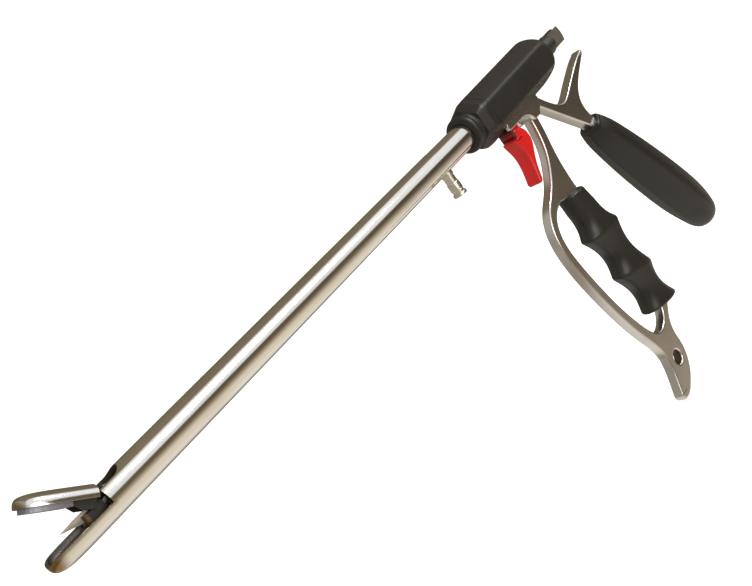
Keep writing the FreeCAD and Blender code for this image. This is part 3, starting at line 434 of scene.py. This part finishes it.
def barrel(x, radius_at, ends):
    """Grid along X whose radius depends on x and on the angle from +Z towards +Y; the rows named
    in ends are drawn in by a share, which rounds the rims."""
    angle = np.linspace(0, 2 * np.pi, 192, endpoint=False)[None, :]
    radius = radius_at(x[:, None], angle)
    for row, share in ends.items():
        radius[row] *= share
    return np.stack([x[:, None] + 0 * radius, radius * np.sin(angle), radius * np.cos(angle)], -1)


def knob_radius(x, angle):
    """The knob's radius: the neck, then a hexagon that widens inside a rounded envelope."""
    share = np.clip((x - NECK_END_X) / KNOB_SLOPE, 0, 1)
    flats = (FOOT_R + (KNOB_FLAT - FOOT_R) * share) * hexagon(angle, 40)
    envelope = np.interp(x, ENVELOPE_X, ENVELOPE_R)
    body = least(flats, envelope + 0 * flats, 60)
    blend = np.clip((x - (NECK_END_X - STEP_HALF)) / (2 * STEP_HALF), 0, 1)
    return NECK_R + (np.maximum(body, NECK_R) - NECK_R) * blend * blend * (3 - 2 * blend)


# Black plastic: smooth, almost matt where it is handled
black = finish_of("black_plastic", "#1c1a16", "#201e19", 0.44, 0.05, (1, 1, 1), 0.4, 20.0, 0.08, IOR=1.45)
collar_line = [(0.0, 5.02), (0.0, 5.6), (0.05, 6.4), (0.3, 6.9), (0.75, 7.2), (1.3, COLLAR_R), (1.9, 7.22),
               (2.4, 6.9), (2.6, 6.6), (2.6, 5.02)]
collar = grid("front_collar_ring", turned(collar_line), closed=True)
settle(collar, black, "shaft", "black_housing", "front_collar")
knob_x = np.concatenate([[2.62, 2.66, 2.8, 3.2, 4.0, 4.5],
                         NECK_END_X + np.linspace(-0.14, 0.14, 8),
                         np.linspace(5.0, KNOB_END_X - 0.3, 40),
                         KNOB_END_X - np.array([0.15, 0.05, 0.0])])
knob_points = barrel(knob_x, knob_radius, {0: 0.955, 1: 0.985, -1: 0.975, -2: 0.992})
knob = grid("turning_knob_shell", knob_points, sharp=60)
settle(knob, black, "shaft", "black_housing", "turning_knob")

# Housing: a black moulded hexagonal body with soft corners and a domed back, one smooth shell. It
# stands 1.5 degrees up towards the rear, as its centre line does in the photograph.
HOUSING_X = 12.3
HOUSING_R = 10.4
DOME_X = 57.5
DOME_L = 13.2
DOME_STOP = 64.0
HOUSING_TILT = math.radians(1.5)


def tilted(points):
    """Turns points about the middle of the housing's front so that the rear rises."""
    cosine, sine = math.cos(HOUSING_TILT), math.sin(HOUSING_TILT)
    dx, z = points[..., 0] - HOUSING_X, points[..., 2]
    return np.stack([HOUSING_X + dx * cosine - z * sine, points[..., 1], dx * sine + z * cosine], -1)


def housing_radius(x, angle):
    """The hexagon inside an envelope that is round at the back: the radius times the dome's cosine."""
    rise = np.clip((x - DOME_X) / DOME_L, 0, 1)
    envelope = (HOUSING_R + 0.05) * np.sqrt(1 - rise ** 2)
    return least(HOUSING_R * math.cos(math.radians(30)) * hexagon(angle, 30), envelope + 0 * angle, 26)


housing_x = np.concatenate([HOUSING_X + np.array([0.0, 0.06, 0.3, 0.7]), np.linspace(14, DOME_X, 40),
                            DOME_X + DOME_L * np.sin(np.radians(np.linspace(1.5, DOME_STOP, 44)))])
housing_points = barrel(housing_x, housing_radius, {0: 0.965, 1: 0.985, 2: 0.997})
housing = grid("housing_shell", tilted(housing_points), sharp=60)
settle(housing, black, "handle", "black_housing", "housing", "rear_cap")

# Flush port: a turned stainless stub soldered under the shaft, with a shoulder, a bore for a rinsing
# tip and a thin flange that locks the tip; the flange's two lugs are left out
PORT_X = -19.0
PORT_END_Z = -14.0
PORT_BORE_R = 1.3
turned_steel = finish_of("turned_stainless", "#e4dfd2", "#d8d2c3", 0.3, 0.02, (1, 1, 1), 0.4, 5.0, 0.01,
                         Metallic=1.0)
port_line = [(-4.2, 0.9), (-4.2, 2.4), (-5.8, 2.4), (-6.0, 2.1), (-8.6, 2.1), (-8.8, 2.3), (-9.0, 2.35),
             (-11.7, 2.35), (-12.0, 2.15), (-12.9, 2.15), (-13.0, 2.6), (-13.1, 2.65), (-13.9, 2.65),
             (PORT_END_Z, 2.55), (PORT_END_Z, 1.4), (-13.9, PORT_BORE_R), (-8.0, PORT_BORE_R), (-8.0, 0.9)]
port = grid("flush_port_stub", turned(port_line, "z", (PORT_X, 0, 0), 72), closed=True, sharp=30)
settle(port, turned_steel, "shaft", "polished_steel", "flush_port")

# Handle frame: cast stainless, ground and satin finished. One plate 4.4 mm thick makes the finger
# arm, the tang inside the grip, the bow guard and the tail with its eye; its edges are rounded.
FRAME_HALF = 2.2
TANG_HALF = 3.2
GRIP_TOP = (33.6, -46.5)
GRIP_END = (42.6, -108.5)
EYE = (29.4, -128.0)
EYE_R = 3.0
frame_line = outline(
    [(36.6, -9.0), (36.9, -13.0), (36.3, -18.7), (33.8, -26.4), (29.4, -32.5), (22.6, -38.5), (14.2, -43.6),
     (9.4, -49.6), (7.2, -58.3), (7.5, -69.0), (9.7, -81.5), (13.2, -95.0), (17.4, -107.0), (21.6, -116.6),
     (23.0, -122.5), (22.0, -128.5), (19.8, -134.0), (17.5, -139.0)],
    [(17.5, -139.0), (18.2, -141.2), (21.0, -142.0), (25.0, -141.2)],
    [(25.0, -141.2), (31.0, -137.6), (35.6, -132.0), (37.4, -126.0), (37.6, -120.6), (39.4, -116.0),
     (43.4, -112.0), (47.0, GRIP_END[1])],
    [(GRIP_TOP[0] + TANG_HALF, GRIP_TOP[1]), (37.4, GRIP_TOP[1])],
    [(37.4, GRIP_TOP[1]), (37.7, -36.3), (39.2, -27.4), (41.2, -18.7), (41.9, -9.0)])
loop_line = outline(
    [(23.5, -45.4), (20.0, -45.9), (15.8, -48.2), (12.8, -52.2), (11.3, -58.6), (11.9, -68.4), (14.0, -80.4),
     (17.3, -93.5), (21.0, -103.6), (24.2, -110.0), (27.2, -113.3), (31.0, -114.4), (35.0, -113.4),
     (38.0, -111.0), (GRIP_END[0] - TANG_HALF, GRIP_END[1])],
    [(GRIP_TOP[0] - TANG_HALF, GRIP_TOP[1]), (26.5, -46.2)])
# Satin cast stainless: softer, a little brown, with grinding marks in no single direction
satin = finish_of("satin_cast_stainless", "#d9d5d1", "#cdc8c3", 0.24, 0.04, (1, 1, 1), 0.35, 14.0, 0.03,
                  Metallic=1.0)
frame_lines = [frame_line, loop_line, circle(*EYE, EYE_R)]
guard = plate("handle_frame_plate", frame_lines, -FRAME_HALF, FRAME_HALF, edge=0.9)
settle(guard, satin, "handle", "satin_steel", "handle_frame")


def in_eye(c, n):
    """Faces of the eye's wall."""
    return (np.hypot(c[0] - EYE[0], c[2] - EYE[1]) < EYE_R + 0.3) & (np.abs(n[1]) < 0.6)


# The eye's wall is darker, browner and duller
eye_wall_finish = finish_of("darker_eye_wall_stainless", "#77695a", "#685b4d", 0.5, 0.05, (1, 1, 1), 0.5, 5.0, 0.15,
                 Metallic=1.0)
second_finish(guard, eye_wall_finish, in_eye)
# Two cheeks and a web below the housing carry the pins of lever and trigger
neck_line = np.array([(19.5, -5.8), (44.6, -5.8), (45.6, -8.0), (46.0, -10.0), (45.4, -11.6),
                      (42.8, -13.0), (41.3, -14.6), (36.7, -14.6), (36.3, -13.4), (35.8, -12.6),
                      (34.9, -11.8), (33.8, -11.2), (32.4, -10.6), (31.0, -10.3), (19.9, -10.3),
                      (19.5, -9.9)])
for name, low, high in (("neck_cheek_right", -4.35, -2.65), ("neck_cheek_left", 2.65, 4.35)):
    cheek = plate(name, [neck_line], low, high, edge=0.35)
    settle(cheek, satin, "handle", "satin_steel")
web_line = np.array([(32.4, -5.8), (39.6, -5.8), (39.6, -14.2), (36.9, -14.2), (35.0, -11.6), (32.4, -10.3)])
web = plate("neck_web", [web_line], -2.9, 2.9, edge=0.1)
settle(web, satin, "handle", "satin_steel")

# Thumb lever: cast in the same steel and ground like the frame, with a spur for the thumb; it turns
# on a pin between the frame's cheeks and ends in the tang of the palm grip
SPUR_X = 91.6
SPUR_REACH = 3.1
lever_line = outline(
    [(46.2, -7.0), (48.6, -9.7), (53.3, -14.5), (57.8, -17.9), (61.4, -19.1), (66.0, -18.3), (73.0, -15.6),
     (81.0, -12.6), (87.5, -10.4), (92.0, -9.3)],
    [(92.0, -9.3), (93.6, -8.95), (94.5, -9.6), (94.1, -10.7), (92.4, -11.4)],
    [(92.4, -11.4), (86.0, -14.4), (79.5, -17.8), (75.0, -21.2), (72.6, -25.0), (72.6, -29.5), (74.6, -34.0)],
    [(97.0, -76.0), (92.0, -78.6)],
    [(68.6, -34.5), (42.0, -9.0)],
    [(41.4, -7.4), (43.8, -5.0)])
lever = plate("thumb_lever_plate", [lever_line], -2.5, 2.5, edge=0.7)
# The spur's tip is ground round across its thickness
spots = np.empty(len(lever.data.vertices) * 3)
lever.data.vertices.foreach_get("co", spots)
spots = spots.reshape(-1, 3)
past = np.clip(spots[:, 0] / MM - SPUR_X, 0, None) / SPUR_REACH
spots[:, 1] *= np.clip(1 - past ** 3, 0.08, 1) ** 0.4
lever.data.vertices.foreach_set("co", spots.ravel())
lever.data.update()
settle(lever, satin, "lever", "satin_steel", "thumb_lever")

# Finger grip: black plastic moulded on the tang. Three grooves lie between ridges that lean a
# little more from one to the next; its ends are flat with rounded rims.
RIDGES = (-46.5, -66.3, -89.0, -108.5)
CRESTS = (6.5, 11.9, 11.9, 11.2)
WIDTHS = (5.4, 6.5, 6.5, 6.5)
LEANS = (6.0, 5.0, 15.0, 8.0)
VALLEY = 7.5
VALLEY_WIDTH = 5.9
RIDGE_SOFT = 0.09


def finger_grid():
    """Rows of ovals down the grip. In each groove the half width falls from crest to valley with
    the sine of the share, its corner at the ridge softened; at both ends a 1 mm rim radius is taken
    off."""
    height = RIDGES[0] - RIDGES[-1]
    down = np.concatenate([[0, 0, 0.04, 0.14, 0.3, 0.5, 0.75], np.linspace(1, height - 1, 150),
                           height - np.array([0.75, 0.5, 0.3, 0.14, 0.04, 0, 0])])
    z = RIDGES[0] - down
    groove = np.clip(np.searchsorted(-np.array(RIDGES), -z, side="right") - 1, 0, 2)
    ridges, crests, wides = np.array(RIDGES), np.array(CRESTS), np.array(WIDTHS)
    t = (ridges[groove] - z) / (ridges[groove] - ridges[groove + 1])
    soft = RIDGE_SOFT
    dip = (np.sqrt(np.sin(np.pi * t) ** 2 + soft ** 2) - soft) / (math.sqrt(1 + soft ** 2) - soft)
    crest = crests[groove] + (crests[groove + 1] - crests[groove]) * t
    wide = wides[groove] + (wides[groove + 1] - wides[groove]) * t
    a = crest + (np.minimum(VALLEY, crest - 1.0) - crest) * dip
    b = wide + (np.minimum(VALLEY_WIDTH, wide - 0.3) - wide) * dip
    end = np.minimum(down, height - down)
    rim = 1 - np.sqrt(np.clip(1 - (1 - np.minimum(end, 1)) ** 2, 0, 1))
    shrink = np.ones_like(z)
    shrink[[0, -1]] = 0.001
    a, b = (a - rim) * shrink, (b - rim) * shrink
    x = GRIP_TOP[0] + (GRIP_END[0] - GRIP_TOP[0]) * down / height
    lean = np.radians(np.interp(down, RIDGES[0] - ridges, LEANS))[:, None]
    turn = np.linspace(0, 2 * np.pi, 96, endpoint=False)
    across, deep = a[:, None] * np.cos(turn), b[:, None] * np.sin(turn)
    return np.stack([x[:, None] + across * np.cos(lean), deep, z[:, None] - across * np.sin(lean)], -1)


# Glossy black grip plastic, worn smooth by hands
grip_black = finish_of("black_grip_plastic", "#1e1c19", "#22201c", 0.33, 0.05, (1, 1, 1), 0.5, 18.0, 0.08,
                       IOR=1.45)
finger_grip = grid("finger_grip_moulding", finger_grid(), sharp=70)
settle(finger_grip, grip_black, "handle", "black_grip", "finger_grip")

# Palm grip: black plastic moulded over the lever's tang. Its side towards the fingers is flat and
# meets the two flanks in soft ridges that a wide flat breaks; the end is round for the palm.
PALM_TOP = (71.6, -34.5)
PALM_END = (110.8, -108.9)
PALM_HALF = 8.6
PALM_DEPTH = 8.2
PALM_POWER = 24
ROUND_FROM = 0.8
ROUND_TO = 0.97
PALM_SIZES = ((0.0, 0.62), (0.05, 0.77), (0.18, 0.96), (0.38, 1.1), (0.6, 1.17), (0.78, 1.14), (0.9, 0.98),
              (0.97, 0.68), (1.0, 0.25))
PALM_FLATS = ((0, 1.0, 0.96), (70, 0.93, 1.0), (290, 0.93, 1.0), (90, 1.0, 1.0), (270, 1.0, 1.0),
              (145, 0.88, 1.0), (215, 0.88, 1.0), (35, 1.02, 1.0), (325, 1.02, 1.0))


def palm_grid():
    """Rows down the grip's leaning centre line. The section's radius is the p-norm of the
    direction over its flats' normals and distances, inverted, and it grows round at the end; rows
    are sized by a smooth line through the stations."""
    reach = math.hypot(PALM_END[0] - PALM_TOP[0], PALM_END[1] - PALM_TOP[1])
    lean = math.atan2(PALM_END[0] - PALM_TOP[0], PALM_TOP[1] - PALM_END[1])
    stations = through([(t * reach, PALM_HALF * size) for t, size in PALM_SIZES], 16)
    top = np.array([(0.0, 0.01), (0.0, stations[0, 1] - 1.0), (0.12, stations[0, 1] - 0.5),
                    (0.45, stations[0, 1] - 0.1)])
    stations[0, 0] = 1.0
    line = np.concatenate([top, stations[stations[:, 0] > 0.9], [(reach, 0.01)]])
    turn = np.linspace(0, 2 * np.pi, 144, endpoint=False)
    total = 0
    for angle, distance, weight in PALM_FLATS:
        facing = np.clip(np.cos(turn - math.radians(angle)), 0, None)
        total = total + weight * (facing / distance) ** PALM_POWER
    down = line[:, :1]
    rounding = np.clip((down / reach - ROUND_FROM) / (ROUND_TO - ROUND_FROM), 0, 1)
    unit = total ** (-1 / PALM_POWER) * (1 - rounding) + rounding
    across = line[:, 1:] * unit * np.cos(turn)
    deep = line[:, 1:] * (PALM_DEPTH / PALM_HALF) * unit * np.sin(turn)
    x = PALM_TOP[0] + down * math.sin(lean) + across * math.cos(lean)
    z = PALM_TOP[1] - down * math.cos(lean) + across * math.sin(lean)
    return np.stack([x, deep, z], -1)


palm_grip = grid("palm_grip_moulding", palm_grid(), sharp=60)
settle(palm_grip, grip_black, "lever", "black_grip", "palm_grip")

# Knife trigger: red plastic moulding with a finger hollow in front and a rounded toe; its stem goes
# up between the frame's cheeks
trigger_line = outline(
    [(21.6, -11.4), (21.4, -13.9)],
    [(19.3, -14.4), (19.7, -16.0), (20.9, -20.0), (20.6, -26.0), (18.6, -31.6)],
    [(18.6, -31.6), (18.6, -33.0), (19.9, -33.6), (21.3, -32.4)],
    [(21.3, -32.4), (23.2, -28.0), (26.8, -22.8), (29.6, -18.2), (29.3, -14.6)],
    [(29.3, -14.6), (27.0, -11.6)])
red = finish_of("red_plastic", "#c40d0b", "#b80b0a", 0.3, 0.04, (1, 1, 1), 0.4, 10.0, 0.08, IOR=1.5)
trigger = plate("knife_trigger_blade", [trigger_line], -3.4, 3.4, edge=1.2)
settle(trigger, red, "trigger", "red_plastic", "knife_trigger")
stem_line = np.array([(21.6, -7.4), (28.4, -7.4), (27.4, -13.0), (20.8, -13.0)])
stem = plate("knife_trigger_stem", [stem_line], -2.45, 2.45, edge=0.3)
settle(stem, red, "trigger", "red_plastic")
# The face under the housing is duller, and painted dark red as a painted shadow from the housing above
shaded_throat_red = finish_of("red_plastic_painted_shade", "#5c1512", "#521210", 0.5, 0.04, (1, 1, 1), 0.4, 6.0, 0.1, IOR=1.5)
throat_line = np.array([(20.9, -9.6), (22.2, -9.6), (22.2, -14.4), (20.9, -14.4)])
throat = plate("knife_trigger_throat", [throat_line], -3.3, 3.3, edge=0.2)
settle(throat, shaded_throat_red, "trigger", "red_plastic")

# Knife: a thin slender blade, ground flat and then bevelled below to its edge, on the strip that runs
# back to the knife rod
blade = finish_of("ground_blade_steel", "#dcd6c9", "#cfc8b9", 0.45, 0.05, (1, 1, 0.2), 0.2, 6.0, 0.05,
                  Metallic=1.0)
BLOCK_X = HINGE[0] - 8.9
KNIFE_HALF = 0.22
STRIP_END = 17.5
# The outline of each side, after the tip and the edge's heel, which lie on the mid-plane
knife_side = [(0.0, 1.1), (0.9, -2.3), (1.9, -2.3), (2.9, 0.0), (STRIP_END, 0.0), (STRIP_END, 1.05),
              (2.1, 1.05), (0.9, 2.4), (-2.5, 2.42)]
knife_points = [(-7.2, 0.0, 2.25), (-0.4, 0.0, -0.2)]
knife_points += [(x, side * KNIFE_HALF, z) for side in (-1, 1) for x, z in knife_side]
knife_faces = [list(range(2, 11)), list(range(11, 20))]
for first in (2, 11):
    knife_faces += [[0, 1, first], [1, first + 1, first], [0, first, first + 8]]
knife_faces += [[k, k + 1, k + 10, k + 9] for k in range(3, 10)] + [[1, 3, 12], [0, 10, 19]]
knife_mesh = bpy.data.meshes.new("knife_blade_ground")
knife_mesh.from_pydata([((BLOCK_X + x) * MM, y * MM, z * MM) for x, y, z in knife_points], [], knife_faces)
knife = stand("knife_blade_ground", knife_mesh, sharp=3)
settle(knife, blade, "knife", "knife_steel", "knife_blade")

# Cable connector: a moulded grey plastic sleeve pressed into the dome's back, along the tilted line
# of the housing; two flat contacts and the core between them stand out of it
grey = finish_of("dark_grey_plastic", "#232220", "#2a2927", 0.42, 0.05, (1, 1, 1), 0.3, 5.0, 0.1, IOR=1.5)
boot_line = [(62.0, 0.5), (62.0, 3.4), (69.3, 3.4), (69.36, 4.15), (69.5, 4.2), (77.6, 4.2), (78.1, 4.1),
             (78.4, 3.8), (78.5, 3.4), (78.5, 0.5)]
boot = grid("connector_boot_sleeve", tilted(turned(boot_line, around=96)), closed=True)
settle(boot, grey, "handle", "grey_boot", "connector_boot")

# Pieces kept as the frame has them, each with its own finish: ground electrodes, painted darker and
# lilac as a painted dark reflection, dark insulation, the contacts at the back, and the works inside
# The electrodes' ground steel is painted darker and lilac, a painted dark reflection
ground = finish_of("ground_electrode_steel_painted_dark", "#8f8d97", "#83818c", 0.44, 0.05, (1, 0.2, 1), 0.2, 6.0, 0.05,
                   Metallic=1.0)
guide = finish_of("brazed_guide_steel", "#7d6a49", "#6d5b3f", 0.4, 0.05, (0.2, 1, 1), 0.5, 3.0, 0.3,
                  Metallic=1.0)
contact = finish_of("dull_contact_metal", "#b0aaa0", "#a39d92", 0.42, 0.05, (1, 1, 1), 0.3, 5.0, 0.08,
                    Metallic=1.0)
dark = finish_of("dark_insulation", "#1c1913", "#25211a", 0.5, 0.05, (1, 1, 1), 0.3, 5.0, 0.1, IOR=1.5)
pale = finish_of("bearing_plastic", "#d9d5c9", "#cfcabd", 0.5, 0.05, (1, 1, 1), 0.3, 8.0, 0.1, IOR=1.5)
rubber = finish_of("seal_rubber", "#1e1e1e", "#262626", 0.7, 0.05, (1, 1, 1), 0.3, 8.0, 0.1, IOR=1.5)
KEPT = {
    ground: ("lower_electrode", "upper_electrode"),
    guide: ("knife_guide",),
    contact: ("contact_blades",),
    dark: ("lower_insulator", "upper_insulator", "guide_block", "contact_core"),
    grey: ("cheek_pins",),
    pale: ("front_bush", "rod_guides", "spring_seat", "jaw_spool", "knife_spool"),
    rubber: ("shaft_seal",),
    polished: ("jaw_hinge_pin", "pull_tube", "drive_tongue", "drive_pin", "jaw_spool_pins",
               "knife_rod", "knife_cross_pin", "shaft_journal", "retaining_ring", "lever_pin", "trigger_pin",
               "knife_spring", "jaw_spring"),
}
for finish, nodes in KEPT.items():
    for node in nodes:
        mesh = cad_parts[node].data
        mesh.materials.clear()
        mesh.materials.append(finish)

# Studio: a sheet of white paper on the floor, and a white light tent on the camera's side of a darker
# room. The camera sees plain white; polished metal sees the tent, the sheet and the room between.
REACH = 6.0
FLOOR_Z = -0.1425
floor_mesh = bpy.data.meshes.new("floor")
floor_mesh.from_pydata([(-REACH, -REACH, FLOOR_Z), (REACH, -REACH, FLOOR_Z), (REACH, REACH, FLOOR_Z),
                        (-REACH, REACH, FLOOR_Z)], [], [(0, 1, 2, 3)])
floor = bpy.data.objects.new("floor", floor_mesh)
bpy.context.collection.objects.link(floor)
paper = bpy.data.materials.new("white_paper")
paper.use_nodes = True
tree = paper.node_tree
tree.nodes.clear()
rays = add(tree, "ShaderNodeLightPath")
matt = add(tree, "ShaderNodeBsdfDiffuse", {"Color": tone("#dedbd6")})
glow = add(tree, "ShaderNodeEmission", {"Color": tone("#ffffff"), "Strength": 0.62})
both = add(tree, "ShaderNodeAddShader", {0: matt.outputs[0], 1: glow.outputs[0]})
seen = add(tree, "ShaderNodeMixShader", {0: rays.outputs["Is Camera Ray"], 1: matt.outputs[0],
                                         2: both.outputs[0]})
unseen = add(tree, "ShaderNodeBsdfTransparent")
whole = add(tree, "ShaderNodeMixShader", {0: rays.outputs["Is Glossy Ray"], 1: seen.outputs[0],
                                          2: unseen.outputs[0]})
add(tree, "ShaderNodeOutputMaterial", {"Surface": whole.outputs[0]})
floor_mesh.materials.append(paper)

world = bpy.data.worlds.new("studio")
bpy.context.scene.world = world
world.use_nodes = True
tree = world.node_tree
tree.nodes.clear()
rays = add(tree, "ShaderNodeLightPath")
way = add(tree, "ShaderNodeTexCoord").outputs["Generated"]
across, depth, upward = add(tree, "ShaderNodeSeparateXYZ", {0: way}).outputs
height = ranged(tree, upward, -1.0, 1.0, "LINEAR")


def band(stops):
    """Colours of the surround from straight down (-1) to straight up (1), blended between heights."""
    made = add(tree, "ShaderNodeValToRGB", {0: height})
    ramp = made.color_ramp
    for number, (level, code) in enumerate(stops):
        stop = ramp.elements[0] if number == 0 else ramp.elements.new((level + 1) / 2)
        stop.position = (level + 1) / 2
        stop.color = tone(code)
    ramp.elements.remove(ramp.elements[-1])
    return made.outputs[0]


tent = band([(-1.0, "#f6ebd6"), (-0.66, "#eee2cd"), (-0.42, "#b3a492"), (-0.22, "#776a52"), (0.0, "#5c523e"),
             (0.1, "#6a5f48"), (0.19, "#f4f8fc"), (0.98, "#ffffff")])
side = band([(-1.0, "#f6ebd6"), (-0.66, "#dcd2c2"), (-0.42, "#91877a"), (-0.22, "#554b40"), (0.0, "#4b4337"),
             (0.1, "#574e40"), (0.19, "#f4f8fc"), (0.98, "#ffffff")])
room = band([(-1.0, "#f4eee2"), (-0.67, "#f6f1e8"), (-0.5, "#dad4ca"), (-0.3, "#c0b8ac"), (-0.1, "#857b69"),
             (0.1, "#6a604b"), (0.35, "#746a53"), (0.98, "#867d69")])
corner = band([(-1.0, "#c8c0b4"), (-0.8, "#aba59b"), (-0.6, "#979187"), (-0.42, "#85807a"), (-0.2, "#5f5748"),
               (0.1, "#6a604b"), (0.35, "#746a53"), (0.98, "#867d69")])
front = band([(-1.0, "#f8f4ec"), (-0.72, "#f6f2ea"), (-0.56, "#a39a8d"), (-0.3, "#b9b4aa"), (0.1, "#a9a49a"),
              (0.4, "#b9b5ac"), (0.98, "#c2beb5")])
# On the camera's side the tent is darker low down on the right. Past its edge, which leans over X and
# Y, lies the room, with a dim corner far on the right and its front end on the left.
leaning = add(tree, "ShaderNodeMath", {0: across, 1: -0.4, 2: depth}, operation="MULTIPLY_ADD").outputs[0]
far_right = {0: ranged(tree, across, 0.0, 0.25), 1: ranged(tree, depth, 0.25, 0.45)}
in_corner = add(tree, "ShaderNodeMath", far_right, operation="MULTIPLY").outputs[0]
near = mixed(tree, ranged(tree, across, 0.62, 0.8), tent, side)
away = mixed(tree, in_corner, mixed(tree, ranged(tree, across, 0.05, -0.25), room, front), corner)
around = mixed(tree, ranged(tree, leaning, -0.515, -0.335), near, away)
# Only reflections show all this: diffuse light comes from an even grey, and the camera sees white
plain = mixed(tree, rays.outputs["Is Glossy Ray"], tone("#d2d0cc"), around)
direct = {0: rays.outputs["Is Camera Ray"], 1: rays.outputs["Is Transmission Ray"]}
clear = add(tree, "ShaderNodeMath", direct, operation="MAXIMUM").outputs[0]
sky = mixed(tree, clear, plain, tone("#ffffff"))
light = add(tree, "ShaderNodeBackground", {"Color": sky, "Strength": 1.0})
add(tree, "ShaderNodeOutputWorld", {"Surface": light.outputs[0]})


def lamp(name, place, target, size, power, colour, mirrored):
    """Soft area lamp at a place, turned to a target, in metres, which metal mirrors or not."""
    data = bpy.data.lights.new(name, "AREA")
    data.shape = "RECTANGLE"
    data.size, data.size_y = size
    data.energy = power
    data.color = tone(colour)[:3]
    made = bpy.data.objects.new(name, data)
    made.location = place
    made.rotation_euler = (Vector(target) - Vector(place)).to_track_quat("-Z", "Y").to_euler()
    made.visible_glossy = mirrored
    bpy.context.collection.objects.link(made)


lamp("key", (0.42, -0.62, 0.66), (-0.02, 0, -0.03), (0.35, 0.35), 6.0, "#fffdf8", True)
lamp("fill", (-0.24, -0.85, 0.12), (0.0, 0, -0.05), (0.5, 0.5), 2.5, "#fffaf2", True)
lamp("rear", (-0.45, 0.6, 0.9), (0.0, 0, 0), (0.5, 0.4), 5.0, "#ffffff", False)

# Camera: the photograph's place and lens, worked out from the shaft, the grips and the jaws
camera_data = bpy.data.cameras.new("camera")
camera_data.lens = 45.48
camera_data.sensor_width = 36.0
camera_data.clip_start = 0.01
camera = bpy.data.objects.new("camera", camera_data)
camera.matrix_world = Matrix(((0.51595823, 0.57146093, -0.63813753, -0.26659083),
                              (-0.62206858, -0.26218802, -0.73775886, -0.21816075),
                              (-0.58891238, 0.77761806, 0.22020982, 0.05012204), (0, 0, 0, 1)))
bpy.context.collection.objects.link(camera)
bpy.context.scene.camera = camera
bpy.context.scene.view_settings.view_transform = "Standard"
